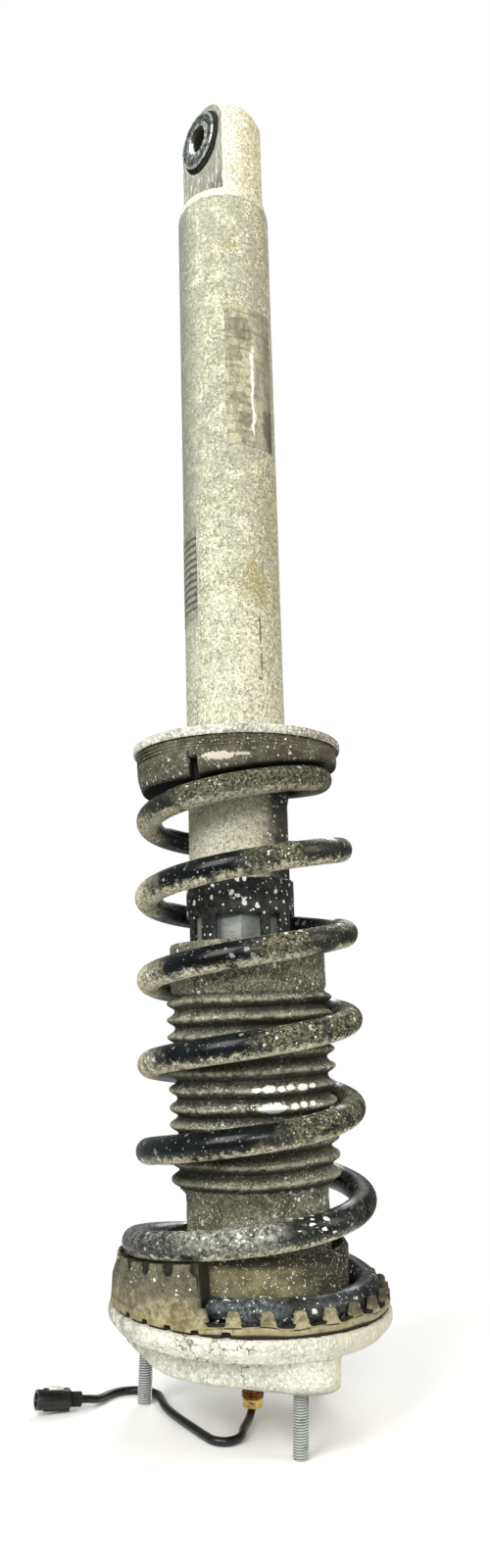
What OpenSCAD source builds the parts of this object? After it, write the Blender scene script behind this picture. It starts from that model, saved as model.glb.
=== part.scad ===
// Coil-over damper strut with an electrically controlled valve.
// Millimetres. The origin is the centre of the top mount's mating face on the rod axis,
// and +Z runs along the damper towards the lower eye.

/* [Damper tube] */
// Outside diameter of the damper tube
tube_d = 58; // [46:1:72]
// Wall of the damper tube
tube_wall = 4; // [2.5:0.5:5]
// Length of the damper tube
tube_len = 448; // [370:2:560]
// Diameter of the piston rod
rod_d = 20; // [16:1:24]
// Length of the piston inside the tube
piston_len = 35; // [28:1:45]

/* [Lower eye] */
// Height of the eye's centre above the tube's end
eye_rise = 55; // [48:1:64]
// Width of the eye head across its two flats
eye_width = 31; // [26:1:38]
// Bore of the eye's sleeve, for the lower bolt
eye_bore_d = 14.2; // [10:0.1:17]
// Outside diameter of the eye's bush
eye_bush_d = 39; // [37:0.5:42]
// Direction that the eye's bolt leaves in, seen from above the eye
eye_turn = 216; // [0:1:359]

/* [Top mount] */
// Thickness of the mount's boss under its flange
boss_h = 16; // [12:1:20]
// Thickness of the mount's flange
flange_t = 12; // [10:1:15]
// Diameter of the studs
stud_d = 8; // [6:1:10]
// Length of the studs past the mating face
stud_len = 31.4; // [28:0.2:40]
// Lean of the mount plate against the rod, taken up by its rubber bush
mount_lean = 2.5; // [0:0.1:3]
// Sideways set of the mount plate against the rod, taken up by the same bush
mount_shift = 1.2; // [0:0.1:2]

/* [Suspension spring] */
// Diameter of the spring wire
wire_d = 14.5; // [12:0.1:17.4]
// Turns of the spring, tail to tail
spring_turns = 6.45; // [5.5:0.05:6.9]
// How much wider in radius the coil on the mount is than the body of the spring
flare = 6.8; // [4:0.2:9]
// How much narrower in radius the coil on the perch is than the body of the spring
draw_in = 8.2; // [5:0.2:9]

/* [Stroke] */
// Stroke from full droop to the bump stop
travel = 80; // [60:2:96]
// Length between the mount's flange and the cap of the tube at full droop
rod_show = 186; // [160:2:224]
// Distance from the tube's open end to the underside of the spring perch
perch_up = 93.6; // [84:0.2:112]

/* [Dust boot] */
// Number of bellows ribs
ribs = 11; // [8:1:14]
// Height of a bellows rib
rib_h = 4.6; // [3:0.2:5]

/* [Hidden] */
$fn = 64;

// Clearances
run_clear = 0.05;       // a shaft or a band running in its bore, radial
slip_clear = 0.1;       // a piece slipped over another and held by its ends
seat_clear = 0.3;       // between the spring and the rubber that it sits in
rest_gap = 0.3;         // between stops that meet at the end of the stroke

// Damper tube
tube_r = tube_d / 2;
bore_r = tube_r - tube_wall;
rod_r = rod_d / 2;
cap_wall = 2;
cap_r = tube_r + cap_wall;

// Dust boot
boot_gap = 13;                      // boot collar outside the cap
boot_wall = 2;
collar_r = cap_r + boot_gap;
foot_r = collar_r - 5;
valley_r = collar_r - 1.6;
ridge_r = valley_r + rib_h;
boot_lap = 6;                       // the boot reaches this far over the cap

// Spring
wire_r = wire_d / 2;
coil_gap = 2;                       // ribs of the boot to the spring
body_coil_r = ridge_r + coil_gap + wire_r;
mount_coil_r = body_coil_r + flare;
perch_coil_r = body_coil_r - draw_in;
tail_turn = -109;                   // direction of the spring's first end
rings_a_turn = 24;
wire_sides = 6;

// Spring pad and top mount
collar_wall = 3.2;
pad_min = 1.2;                      // rubber under the lowest coil
rim_wall = 4.2;
pad_collar_r = mount_coil_r - wire_r - 3;
rim_in_r = mount_coil_r + wire_r + 0.6;
pad_r = rim_in_r + rim_wall;
flange_r = pad_r + 1.1;
mount_h = boss_h + flange_t;
pad_collar_top = mount_h + 32;
tooth_count = 28;
stud_r = stud_d / 2;
stud_spots = [[25, -51.5], [-57, 20.5], [39, 44]];
stud_head_t = 3;
stud_head_r = stud_r + 3.2;
lobe_r = stud_r + 7.5;
knurl = 0.4;                        // the stud's knurled shank over its thread
boss_body = [-3.5, -2, 52.5];       // the boss's round middle, as its place and radius
boss_corner = [32.5, -50, 12];      // and its corner beside the front stud
flange_taper = 5.3;                 // the flange's side leans in by this towards the boss
hub_r = 24;
recess_r = 21;
recess_h = 6;

// Stack on the rod's neck, from its tip up
neck_r = 6;
core_wall = 6;
thread_below = 20.8;                // thread past the mating face
gland_len = 4.4;
nut_h = 10;
nut_z = -8;
washer_t = 3;
core_z = nut_z + nut_h + washer_t;
cup_t = 3;
shoulder_z = mount_h + 18;
cup_h = 14;
lead_r = 2.1;                       // the signal lead

// Levels of the tube and of what is on it
cap_z = mount_h + rod_show;
nut_face_z = cap_z + 1;
closure_h = 21;
tube_z = nut_face_z + closure_h;
tube_top = tube_z + tube_len;
eye_z = tube_top + eye_rise;
perch_z = tube_z + perch_up;
spigot_h = 14;
guide_h = 27;
guide_z = tube_z + spigot_h;
stop_h = 12;
piston_z = guide_z + guide_h + rest_gap + stop_h;
piston_top = piston_z + piston_len;
valve_h = 25;
gas_piston_z = tube_z + 0.62 * tube_len;
gas_piston_h = 20;

// Spring perch
perch_t = 4.4;
perch_r = perch_coil_r + wire_r + 5.6;
perch_hub_wall = 4;
perch_hub_r = tube_r + perch_hub_wall;
perch_hub_h = 9;
seat_min = 6;                       // rubber between the perch and the end of the spring
seat_h = 24;                        // the seat where the spring hangs clear of it

// Eye
eye_r = tube_r - 1.5;
eye_dome_r = tube_r - 0.7;
eye_flat_z = tube_top + 6;          // the flats run out here, on a ledge
bush_ring_wall = 2;
sleeve_r = eye_bore_d / 2 + 4.9;
bush_lip = 2;
washer_r = eye_bush_d / 2 - 2;
eye_washer_t = 2;
sleeve_half = eye_width / 2 + bush_lip + eye_washer_t;

// Signal lead, from the gland in the rod to its connector on the floor
lead_route = [
    [0, 0, -20.8], [-0.3, -0.9, -24.3], [-1.1, -3.3, -27], [-2.2, -6.8, -28.6], [-3.3, -11, -29],
    [-4.4, -16, -29], [-5.4, -22, -28.9], [-6.1, -28.8, -28.8], [-8.6, -35, -28.6],
    [-14.2, -38, -28.5], [-20, -36.4, -28.3], [-24.4, -31, -28.1], [-30.4, -21.6, -27.8],
    [-37, -11, -27.5], [-43, -0.5, -27.2], [-47.4, 9, -26.9], [-49.8, 18.2, -26.8],
    [-52.6, 26.4, -26.6], [-58.6, 31.8, -26.4], [-66.4, 33.2, -26.1], [-73.8, 31, -25.8],
    [-79.2, 26, -25.5], [-82.4, 19.6, -25], [-85, 14.4, -24], [-88.5, 11.2, -22.8],
    [-92.5, 9.4, -22.2]
];
lead_sides = 8;

// ---- Shared shapes ----

// A ring about Z from z0 to z1
module ring(r_out, r_in, z0, z1) {
    rotate_extrude() polygon([[r_in, z0], [r_out, z0], [r_out, z1], [r_in, z1]]);
}

// What is square to the mount plate
module on_mount() { rotate([0, mount_lean, 0]) translate([-mount_shift, 0, 0]) children(); }

// What lies along the eye's bolt, with its own Z along the bolt
module on_eye() { translate([0, 0, eye_z]) rotate([0, 90, eye_turn]) children(); }

// Triangles between two rings of points that start at a and b
function band(a, b, n) = [for (j = [0:n - 1]) each [
    [a + j, b + j, b + (j + 1) % n], [a + j, b + (j + 1) % n, a + (j + 1) % n]]];

// A solid through rings of equal point counts, with flat ends
module loft(rings) {
    n = len(rings[0]);
    m = len(rings);
    points = [for (r = rings) each r];
    start = [for (j = [1:n - 2]) [0, j, j + 1]];
    end = [for (j = [1:n - 2]) [(m - 1) * n, (m - 1) * n + j + 1, (m - 1) * n + j]];
    sides = [for (i = [0:m - 2]) each band(i * n, (i + 1) * n, n)];
    polyhedron(points, concat(start, end, sides));
}

// A closed ring-shaped solid through sections of equal point counts
module closed_loft(rings) {
    n = len(rings[0]);
    m = len(rings);
    points = [for (r = rings) each r];
    polyhedron(points, [for (i = [0:m - 1]) each band(i * n, ((i + 1) % m) * n, n)]);
}

// A ring of a round wire at p on its route, square to face, which is the way ahead unless given
function unit(v) = v / norm(v);
function wire_ring(p, ahead, r, sides, face = undef) =
    let (side = unit(cross(ahead, [0, 0, 1])), up = cross(side, is_undef(face) ? ahead : face))
    [for (j = [0:sides - 1]) let (a = 360 * j / sides) p + r * (cos(a) * side + sin(a) * up)];

// ---- Spring, as functions of the turns from its end on the mount ----

function ease(u) = let (c = min(max(u, 0), 1)) c * c * (3 - 2 * c);
function azimuth(t) = tail_turn + 360 * t;

closed_turns = 0.3;
pitch_share = [
    [0, 0], [closed_turns, 0], [closed_turns + 0.1, 1],
    [spring_turns - 1.15, 1], [spring_turns, 0.7]
];
spring_low = mount_h + pad_min + seat_clear + wire_r;
spring_high = perch_z - seat_min - seat_clear - wire_r;
ring_count = ceil(spring_turns * rings_a_turn);
ring_step = spring_turns / ring_count;
climb = [for (i = 0, s = 0; i <= ring_count;
    s = s + lookup((i + 0.5) * ring_step, pitch_share), i = i + 1) s];
climb_table = [for (i = [0:ring_count]) [i * ring_step, climb[i] / climb[ring_count]]];

function coil_r(t) = mount_coil_r - flare * ease((t - 0.9) / 1.1)
    - draw_in * ease((t - (spring_turns - 0.95)) / 0.8);
function lean_share(t) = t < 1 ? 1 : 1 - (t - 1) / (spring_turns - 1);
function coil_base(t) = spring_low + (spring_high - spring_low) * lookup(t, climb_table);
function coil_tilt(t) = mount_lean * (1 - 2 * t / spring_turns);
function coil_z(t) = coil_base(t) - coil_r(t) * sin(coil_tilt(t)) * cos(azimuth(t));
function coil_shift(t) = (coil_base(t) * sin(mount_lean) - mount_shift) * lean_share(t);
function coil_point(t) = [
    coil_shift(t) + coil_r(t) * cos(azimuth(t)), coil_r(t) * sin(azimuth(t)), coil_z(t)];
function coil_ahead(t) = unit(coil_point(t + 0.01) - coil_point(t - 0.01));

coil_points = [for (i = [0:ring_count]) coil_point(i * ring_step)];
coil_least_gap = min([for (i = [0:ring_count], k = [0:ring_count])
    if (k - i > rings_a_turn / 2) norm(coil_points[i] - coil_points[k])]) - wire_d;
echo(str("coil_spring: least gap to itself ", coil_least_gap, " mm"));

module coil_spring() {
    color([0.07, 0.08, 0.10])
    loft([for (i = [0:ring_count]) let (t = i * ring_step)
        wire_ring(coil_point(t), coil_ahead(t), wire_r, wire_sides)]);
}

// ---- Top mount ----

module stud_places() { for (p = stud_spots) translate([p[0], p[1], 0]) children(); }

module mount_plate() {
    edge = 1.5;
    side = 4.5;                     // upright band of the flange's side under its top edge
    color([0.74, 0.73, 0.68]) on_mount() difference() {
        union() {
            rotate_extrude() polygon([
                [0, boss_h], [flange_r - flange_taper, boss_h], [flange_r, mount_h - edge - side],
                [flange_r, mount_h - edge], [flange_r - edge, mount_h], [0, mount_h]]);
            hull() for (p = concat([boss_body, boss_corner], [for (p = stud_spots) [p[0], p[1], lobe_r]]))
                translate([p[0], p[1], 0]) {
                    cylinder(r = p[2] - edge, h = boss_h + edge, $fn = 36);
                    translate([0, 0, edge]) cylinder(r = p[2], h = boss_h, $fn = 36);
                }
        }
        translate([0, 0, -1]) cylinder(r = hub_r, h = mount_h + 2);
        stud_places() translate([0, 0, -1]) cylinder(r = stud_r + knurl + run_clear, h = mount_h + 2);
        stud_places() translate([0, 0, mount_h - stud_head_t])
            cylinder(r = stud_head_r + slip_clear, h = stud_head_t + 1);
    }
}

module mount_studs() {
    tip = 1;
    color([0.66, 0.70, 0.72]) on_mount() stud_places() {
        rotate_extrude() polygon([
            [0, -stud_len], [stud_r - tip * 0.7, -stud_len], [stud_r, tip - stud_len],
            [stud_r, 0], [stud_r + knurl, 0], [stud_r + knurl, mount_h - stud_head_t],
            [stud_head_r, mount_h - stud_head_t], [stud_head_r, mount_h], [0, mount_h]]);
    }
}

module mount_bush() {
    bevel = 3;
    color([0.10, 0.10, 0.10]) difference() {
        on_mount() rotate_extrude() polygon([
            [0, recess_h + bevel], [hub_r - bevel, recess_h], [hub_r - run_clear, recess_h + bevel],
            [hub_r - run_clear, mount_h - bevel], [hub_r - bevel, mount_h], [0, mount_h - bevel]]);
        cylinder(r = neck_r + core_wall + run_clear, h = 2 * mount_h);
    }
}

module bush_core() {
    color([0.50, 0.50, 0.50])
    ring(neck_r + core_wall, neck_r + slip_clear, core_z, shoulder_z - cup_t);
}

module lower_washer() {
    color([0.45, 0.42, 0.38])
    ring(recess_r - 4, neck_r + slip_clear, core_z - washer_t, core_z);
}

module rod_nut() {
    color([0.50, 0.40, 0.28]) difference() {
        intersection() {
            translate([0, 0, nut_z]) cylinder(r = neck_r * 1.75, h = nut_h, $fn = 6);
            translate([0, 0, nut_z - 3]) cylinder(r1 = neck_r, r2 = neck_r + 16, h = 16);
        }
        translate([0, 0, nut_z - 1]) cylinder(r = neck_r + slip_clear, h = nut_h + 2);
    }
}

// Rubber pad with a helical seat for the spring, a locating collar and a toothed rim
rim_rise = [[0, 12], [0.42, 12], [0.8, 25.5], [0.97, 27]];
function pad_ramp(t) = let (a = azimuth(t)) (coil_base(t) - mount_coil_r * sin(coil_tilt(t)) * cos(a)
    + mount_coil_r * sin(mount_lean) * cos(a)) - wire_r - seat_clear;
function in_gap(step) = step < tooth_count - 0.8 && step % 1 > 0.26 && step % 1 < 0.76;
function gap_depth(t) = t < 0.45 ? 6 : 2.5;
function rim_top(t, step) = max(pad_ramp(t) + 0.5,
    mount_h + lookup(t, rim_rise) - (in_gap(step) ? gap_depth(t) : 0));

module spring_pad() {
    // Four stations to a tooth: its far edge, the two edges of the gap after it and the next near edge
    end = tooth_count - 0.52;
    steps = concat([0.02], [for (k = [0:tooth_count - 1], edge = [0.24, 0.28, 0.74, 0.78])
        if (k + edge < end - 0.1) k + edge], [end]);
    from = -0.0035;                 // the wall behind the spring's end stands just short of it
    to = 0.9895;
    rim_edge = 1.2;
    rim_slope = 0.12;
    color([0.26, 0.24, 0.17]) on_mount() closed_loft([for (step = steps)
        let (t = from + (to - from) * step / (tooth_count - 0.5),
            a = azimuth(t), ramp = pad_ramp(t), rim = rim_top(t, step),
            rim_r = pad_r - rim_edge - rim_slope * max(0, rim - mount_h - 12))
        [for (p = [
            [pad_collar_r - collar_wall, mount_h], [pad_r, mount_h], [rim_r, rim],
            [rim_in_r, rim], [rim_in_r, ramp], [pad_collar_r, ramp],
            [pad_collar_r, max(ramp, pad_collar_top - 2)], [pad_collar_r - 1.5, max(ramp, pad_collar_top)],
            [pad_collar_r - collar_wall, max(ramp, pad_collar_top)]])
            [p[0] * cos(a), p[0] * sin(a), p[1]]]]);
}

// ---- Dust boot and bump stop ----

boot_foot_z = mount_h + 3;
boot_top = cap_z + boot_lap;
boot_lean = 1;                      // the boot leans back from the mount's lean
boot_shift = 6.3;
smooth_h = 57;
collar_h = 28;
bellows_z = boot_foot_z + smooth_h;
bellows_h = boot_top - collar_h - bellows_z;
rib_pitch = bellows_h / ribs;
boot_neck_r = cap_r + boot_shift - (boot_top - boot_foot_z) * sin(boot_lean) + 0.6;

module dust_boot() {
    outside = concat(
        [[foot_r + 3, 0], [foot_r + 3, 3], [foot_r, 5], [foot_r, smooth_h - 3]],
        [for (k = [0:ribs - 1]) let (z = smooth_h + k * rib_pitch) each [
            [valley_r, z], [valley_r, z + rib_pitch * 0.12],
            [ridge_r, z + rib_pitch * 0.5], [ridge_r, z + rib_pitch * 0.62]]],
        [[collar_r, smooth_h + bellows_h], [collar_r, smooth_h + bellows_h + collar_h - 1],
            [collar_r - 1, smooth_h + bellows_h + collar_h]]);
    inside = concat(
        [[boot_neck_r, smooth_h + bellows_h + collar_h],
            [boot_neck_r, smooth_h + bellows_h + collar_h - boot_wall],
            [collar_r - boot_wall, smooth_h + bellows_h + collar_h - boot_wall],
            [collar_r - boot_wall, smooth_h + bellows_h]],
        [for (k = [ribs - 1:-1:0]) let (z = smooth_h + k * rib_pitch) each [
            [ridge_r - boot_wall, z + rib_pitch * 0.6], [ridge_r - boot_wall, z + rib_pitch * 0.5],
            [valley_r - boot_wall, z + rib_pitch * 0.1]]],
        [[foot_r - boot_wall, smooth_h - 3], [foot_r - boot_wall, 0]]);
    color([0.22, 0.21, 0.18]) translate([boot_shift, 0, boot_foot_z]) rotate([0, -boot_lean, 0])
        rotate_extrude() polygon(concat(outside, inside));
}

module bump_cup() {
    wall = 1.5;
    color([0.55, 0.55, 0.55]) rotate_extrude() polygon([
        [neck_r + slip_clear, shoulder_z - cup_t], [stop_foam_r + wall, shoulder_z - cup_t],
        [stop_foam_r + wall, shoulder_z + cup_h], [stop_foam_r + slip_clear, shoulder_z + cup_h],
        [stop_foam_r + slip_clear, shoulder_z], [neck_r + slip_clear, shoulder_z]]);
}

stop_foam_r = rod_r + 14;
stop_foam_top = cap_z - travel - rest_gap;

module bump_stop() {
    waists = 4;
    step = (stop_foam_top - shoulder_z - cup_h) / waists;
    nose = 8;
    color([0.72, 0.66, 0.48]) rotate_extrude() polygon(concat(
        [[rod_r + slip_clear, shoulder_z], [stop_foam_r, shoulder_z]],
        [for (k = [0:waists - 1]) let (z = shoulder_z + cup_h + k * step) each [
            [stop_foam_r, z + 2], [stop_foam_r - 5, z + 5], [stop_foam_r - 5, z + 8],
            [stop_foam_r - k, z + 12]]],
        [[stop_foam_r - nose, stop_foam_top], [rod_r + slip_clear, stop_foam_top]]));
}

// ---- Rod and piston ----

lead_hole_r = lead_r + slip_clear;

module piston_rod() {
    chamfer = 0.8;
    color([0.80, 0.80, 0.82]) rotate_extrude() polygon([
        [lead_hole_r, -thread_below], [neck_r - chamfer, -thread_below],
        [neck_r, chamfer - thread_below], [neck_r, shoulder_z], [rod_r, shoulder_z],
        [rod_r, piston_z], [neck_r, piston_z], [neck_r, piston_top],
        [lead_hole_r, piston_top]]);
}

module rebound_stop() {
    color([0.12, 0.12, 0.12]) ring(rod_r + 7, rod_r + run_clear, piston_z - stop_h, piston_z);
}

band_z = piston_z + piston_len * 0.3;
band_h = piston_len * 0.4;
band_t = 1.2;

module piston() {
    edge = 1;
    r = bore_r - 0.4;
    color([0.62, 0.62, 0.64]) rotate_extrude() polygon([
        [neck_r + slip_clear, piston_z], [r - edge, piston_z], [r, piston_z + edge],
        [r, band_z], [r - band_t, band_z], [r - band_t, band_z + band_h], [r, band_z + band_h],
        [r, piston_top - edge], [r - edge, piston_top], [neck_r + slip_clear, piston_top]]);
}

module piston_band() {
    color([0.30, 0.26, 0.20]) ring(bore_r - run_clear, bore_r - 0.4 - band_t + slip_clear,
        band_z + slip_clear, band_z + band_h - slip_clear);
}

module valve_body() {
    color([0.40, 0.40, 0.42]) difference() {
        translate([0, 0, piston_top]) cylinder(r = bore_r - 9, h = valve_h);
        for (a = [0:60:300]) rotate([0, 0, a]) translate([bore_r - 13, 0, piston_top + 8])
            cylinder(r = 2, h = valve_h);
    }
}

// ---- Signal lead ----

gland_z = -thread_below - gland_len;
mouth_r = 4.3;
gland_r = 5.4;                      // over the corners of its hexagon

module cable_gland() {
    color([0.72, 0.52, 0.26]) difference() {
        translate([0, 0, gland_z]) cylinder(r = gland_r, h = gland_len, $fn = 6);
        translate([0, 0, gland_z - 1]) cylinder(r = lead_r + 1, h = gland_len + 2);
        translate([0, 0, gland_z - 0.01]) cylinder(r1 = mouth_r, r2 = lead_r + 1, h = gland_len / 2);
    }
}

module gland_seal() {
    color([0.08, 0.08, 0.08])
    ring(lead_r + 1 - slip_clear, lead_r, -thread_below - 1.8, -thread_below - 0.2);
}

module signal_lead() {
    n = len(lead_route);
    color([0.05, 0.05, 0.05]) loft([for (i = [0:n - 1])
        let (ahead = unit(lead_route[min(i + 1, n - 1)] - lead_route[max(i - 1, 0)]))
        wire_ring(lead_route[i], ahead, lead_r, lead_sides, i == 0 ? [0, 0, -1] : ahead)]);
}

// The connector's own X runs on from the end of the lead to the socket
lead_end = lead_route[len(lead_route) - 1];
lead_last = lead_end - lead_route[len(lead_route) - 2];
module on_connector() {
    translate(lead_end) rotate([0, 0, atan2(lead_last[1], lead_last[0])])
        rotate([0, -asin(lead_last[2] / norm(lead_last)), 0]) children();
}

housing_r = 5;
seal_len = 7;
housing_len = 18;

module connector_seal() {
    color([0.07, 0.07, 0.07]) on_connector() rotate([0, 90, 0]) rotate_extrude() polygon([
        [0, 0], [lead_r + 0.8, 0], [lead_r + 1.2, 3], [lead_r + 0.8, 3.6], [lead_r + 1.8, 6.4],
        [housing_r - 1.2, seal_len], [0, seal_len]]);
}

module connector_housing() {
    socket = 9;
    color([0.06, 0.06, 0.06]) on_connector() difference() {
        union() {
            translate([seal_len, 0, 0]) rotate([0, 90, 0]) cylinder(r = housing_r, h = housing_len);
            translate([seal_len, -3, -housing_r]) cube([housing_len - 4, 6, 2 * housing_r]);
        }
        translate([seal_len + housing_len - socket, 0, 0]) rotate([0, 90, 0])
            cylinder(r = housing_r - 1.3, h = socket + 1);
    }
}

module connector_latch() {
    color([0.60, 0.60, 0.58]) on_connector() difference() {
        translate([seal_len + 4, -2, housing_r]) cube([8, 4, 1.4]);
        translate([seal_len + 6, -1, housing_r - 1]) cube([4, 2, 4]);
    }
}

// ---- Damper tube ----

module outer_tube() {
    groove = 0.9;
    color([0.78, 0.77, 0.72]) rotate_extrude() polygon([
        [bore_r, tube_z], [tube_r, tube_z], [tube_r, groove_z], [tube_r - groove, groove_z],
        [tube_r - groove, groove_z + ring_h], [tube_r, groove_z + ring_h],
        [tube_r, tube_top], [bore_r, tube_top]]);
}

ring_h = 3;
groove_z = perch_z + perch_hub_h + slip_clear;

module perch_ring() {
    color([0.55, 0.55, 0.52])
    ring(tube_r + 2.2, tube_r - 0.9 + run_clear, groove_z + run_clear, groove_z + ring_h - run_clear);
}

module eye_head() {
    plug_h = 14;
    neck_h = 8;
    color([0.80, 0.79, 0.74]) difference() {
        union() {
            translate([0, 0, tube_top - plug_h]) cylinder(r = bore_r - run_clear, h = plug_h + 1);
            intersection() {
                rotate_extrude() polygon([
                    [0, tube_top], [tube_r, tube_top], [eye_r, tube_top + neck_h],
                    [eye_r, eye_z + 2 * tube_r], [0, eye_z + 2 * tube_r]]);
                union() {
                    translate([0, 0, eye_z]) sphere(r = eye_dome_r);
                    translate([0, 0, tube_top]) cylinder(r = 2 * tube_r, h = eye_rise);
                }
            }
        }
        on_eye() cylinder(r = eye_bush_d / 2 + run_clear, h = 4 * eye_r, center = true);
        for (side = [0, 180]) rotate([0, 0, eye_turn + side])
            translate([eye_width / 2, -3 * eye_r, eye_flat_z]) cube([2 * eye_r, 6 * eye_r, 200]);
    }
}

module eye_bush_ring() {
    color([0.45, 0.46, 0.48]) on_eye()
        ring(eye_bush_d / 2, eye_bush_d / 2 - bush_ring_wall, -eye_width / 2, eye_width / 2);
}

module eye_bush_rubber() {
    half = eye_width / 2 + bush_lip - slip_clear;
    out = eye_bush_d / 2 - bush_ring_wall - run_clear;
    lip_r = washer_r + 1.6;
    color([0.06, 0.06, 0.06]) on_eye() rotate_extrude() polygon([
        [sleeve_r + run_clear, -half], [washer_r, -half], [lip_r, -half + 1.2],
        [lip_r, -eye_width / 2 - 0.2], [out, -eye_width / 2 - 0.2], [out, eye_width / 2 + 0.2],
        [lip_r, eye_width / 2 + 0.2], [lip_r, half - 1.2], [washer_r, half],
        [sleeve_r + run_clear, half]]);
}

module eye_sleeve() {
    chamfer = 1.8;
    bore = eye_bore_d / 2;
    color([0.55, 0.57, 0.60]) on_eye() rotate_extrude() polygon([
        [bore + chamfer, -sleeve_half], [sleeve_r, -sleeve_half], [sleeve_r, sleeve_half],
        [bore + chamfer, sleeve_half], [bore, sleeve_half - chamfer], [bore, chamfer - sleeve_half]]);
}

module eye_washers() {
    color([0.50, 0.53, 0.56]) on_eye() for (side = [-1, 1]) {
        z = side * (sleeve_half - eye_washer_t / 2);
        ring(washer_r, sleeve_r + run_clear, z - eye_washer_t / 2, z + eye_washer_t / 2);
    }
}

module spring_perch() {
    lip = 2;
    color([0.76, 0.75, 0.70]) rotate_extrude() polygon([
        [tube_r + slip_clear, perch_z], [perch_r - lip, perch_z], [perch_r - 0.6, perch_z - 1.4],
        [perch_r, perch_z], [perch_r, perch_z + perch_t - 1], [perch_r - 1, perch_z + perch_t],
        [perch_hub_r + 4, perch_z + perch_t], [perch_hub_r, perch_z + perch_t + 4],
        [perch_hub_r, perch_z + perch_hub_h], [tube_r + slip_clear, perch_z + perch_hub_h]]);
}

// Rubber seat whose underside follows the end of the spring and hangs level beside it
module perch_seat() {
    steps = 40;
    seat_r = perch_r - 2.2;
    taper = 3.2;
    inner_r = tube_r + 1.2;
    color([0.20, 0.19, 0.17]) closed_loft([for (i = [0:steps])
        let (t = spring_turns - 0.992 + 0.994 * i / steps, a = azimuth(t),
            low = max(coil_z(t) + wire_r + seat_clear + 0.3, perch_z - seat_h))
        [for (p = [[inner_r, low], [seat_r - taper, low], [seat_r - 0.4, min(low + 9, perch_z - 2)],
            [seat_r, perch_z - 1.5], [seat_r - 1, perch_z], [inner_r, perch_z]])
            [p[0] * cos(a), p[0] * sin(a), p[1]]]]);
}

// Windows round the cap: [first direction, width] in degrees, in one quarter
cap_windows = [[-117, 48], [-58, 13]];
window_h = 17;
window_low = 3;

module pie(start, wide, r, h) {
    linear_extrude(h) polygon(concat([[0, 0]],
        [for (k = [0:4]) let (a = start + wide * k / 4) 2 * r * [cos(a), sin(a)]]));
}

module tube_cap() {
    edge = 1;
    cap_h = 40;
    floor_t = 1.2;
    color([0.05, 0.05, 0.05]) difference() {
        rotate_extrude() polygon([
            [rod_r + 3, cap_z], [cap_r - edge, cap_z], [cap_r, cap_z + edge],
            [cap_r, cap_z + cap_h - edge], [cap_r - edge, cap_z + cap_h],
            [tube_r + run_clear, cap_z + cap_h], [tube_r + run_clear, cap_z + floor_t - 0.3],
            [rod_r + 3, cap_z + floor_t - 0.3]]);
        for (quarter = [0:3], w = cap_windows) translate([0, 0, cap_z + window_low])
            intersection() {
                pie(w[0] + 90 * quarter, w[1], cap_r, window_h);
                ring(2 * cap_r, tube_r - 2, 0, window_h);
            }
    }
}

module closure_nut() {
    floor_t = 3;
    seal_r = rod_r + 7;
    color([0.42, 0.43, 0.44]) difference() {
        union() {
            translate([0, 0, nut_face_z]) rotate([0, 0, 30]) cylinder(r = tube_r - 0.5, h = closure_h, $fn = 6);
            translate([0, 0, tube_z - 1]) cylinder(r = bore_r - run_clear, h = spigot_h + 1);
        }
        translate([0, 0, nut_face_z - 1]) cylinder(r = rod_r + 0.5, h = closure_h + spigot_h + 2);
        translate([0, 0, nut_face_z + floor_t]) cylinder(r = seal_r, h = closure_h + spigot_h);
    }
}

module rod_seal() {
    color([0.10, 0.10, 0.12])
    ring(rod_r + 7 - run_clear, rod_r + run_clear, nut_face_z + 3, nut_face_z + 17);
}

module rod_guide() {
    color([0.60, 0.55, 0.42])
    ring(bore_r - run_clear, rod_r + run_clear, guide_z, guide_z + guide_h);
}

// A film stuck round part of the tube
module film(start, wide, z0, z1) {
    film_t = 0.25;
    film_in = tube_r + run_clear;
    rotate([0, 0, start]) rotate_extrude(angle = wide)
        polygon([[film_in, z0], [tube_r + film_t, z0], [tube_r + film_t, z1], [film_in, z1]]);
}

label_top = tube_top - 77;
label_h = 93;
code_top = tube_top - 219;
code_h = 56;

module tube_label() { color([0.60, 0.56, 0.46]) film(-91, 66, label_top - label_h, label_top); }

module code_label() { color([0.55, 0.54, 0.50]) film(176, 48, code_top - code_h, code_top); }

gas_groove = 6;

module gas_piston() {
    r = bore_r - 0.3;
    mid = gas_piston_z + gas_piston_h / 2;
    color([0.62, 0.62, 0.60]) rotate_extrude() polygon([
        [0, gas_piston_z + 5], [r - 6, gas_piston_z + 5], [r - 6, gas_piston_z], [r, gas_piston_z],
        [r, mid - gas_groove / 2], [r - 3, mid - gas_groove / 2], [r - 3, mid + gas_groove / 2],
        [r, mid + gas_groove / 2], [r, gas_piston_z + gas_piston_h],
        [0, gas_piston_z + gas_piston_h]]);
}

module gas_piston_seal() {
    mid = gas_piston_z + gas_piston_h / 2;
    color([0.05, 0.05, 0.05]) ring(bore_r - run_clear, bore_r - 3.3 + slip_clear,
        mid - gas_groove / 2 + slip_clear, mid + gas_groove / 2 - slip_clear);
}

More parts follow.
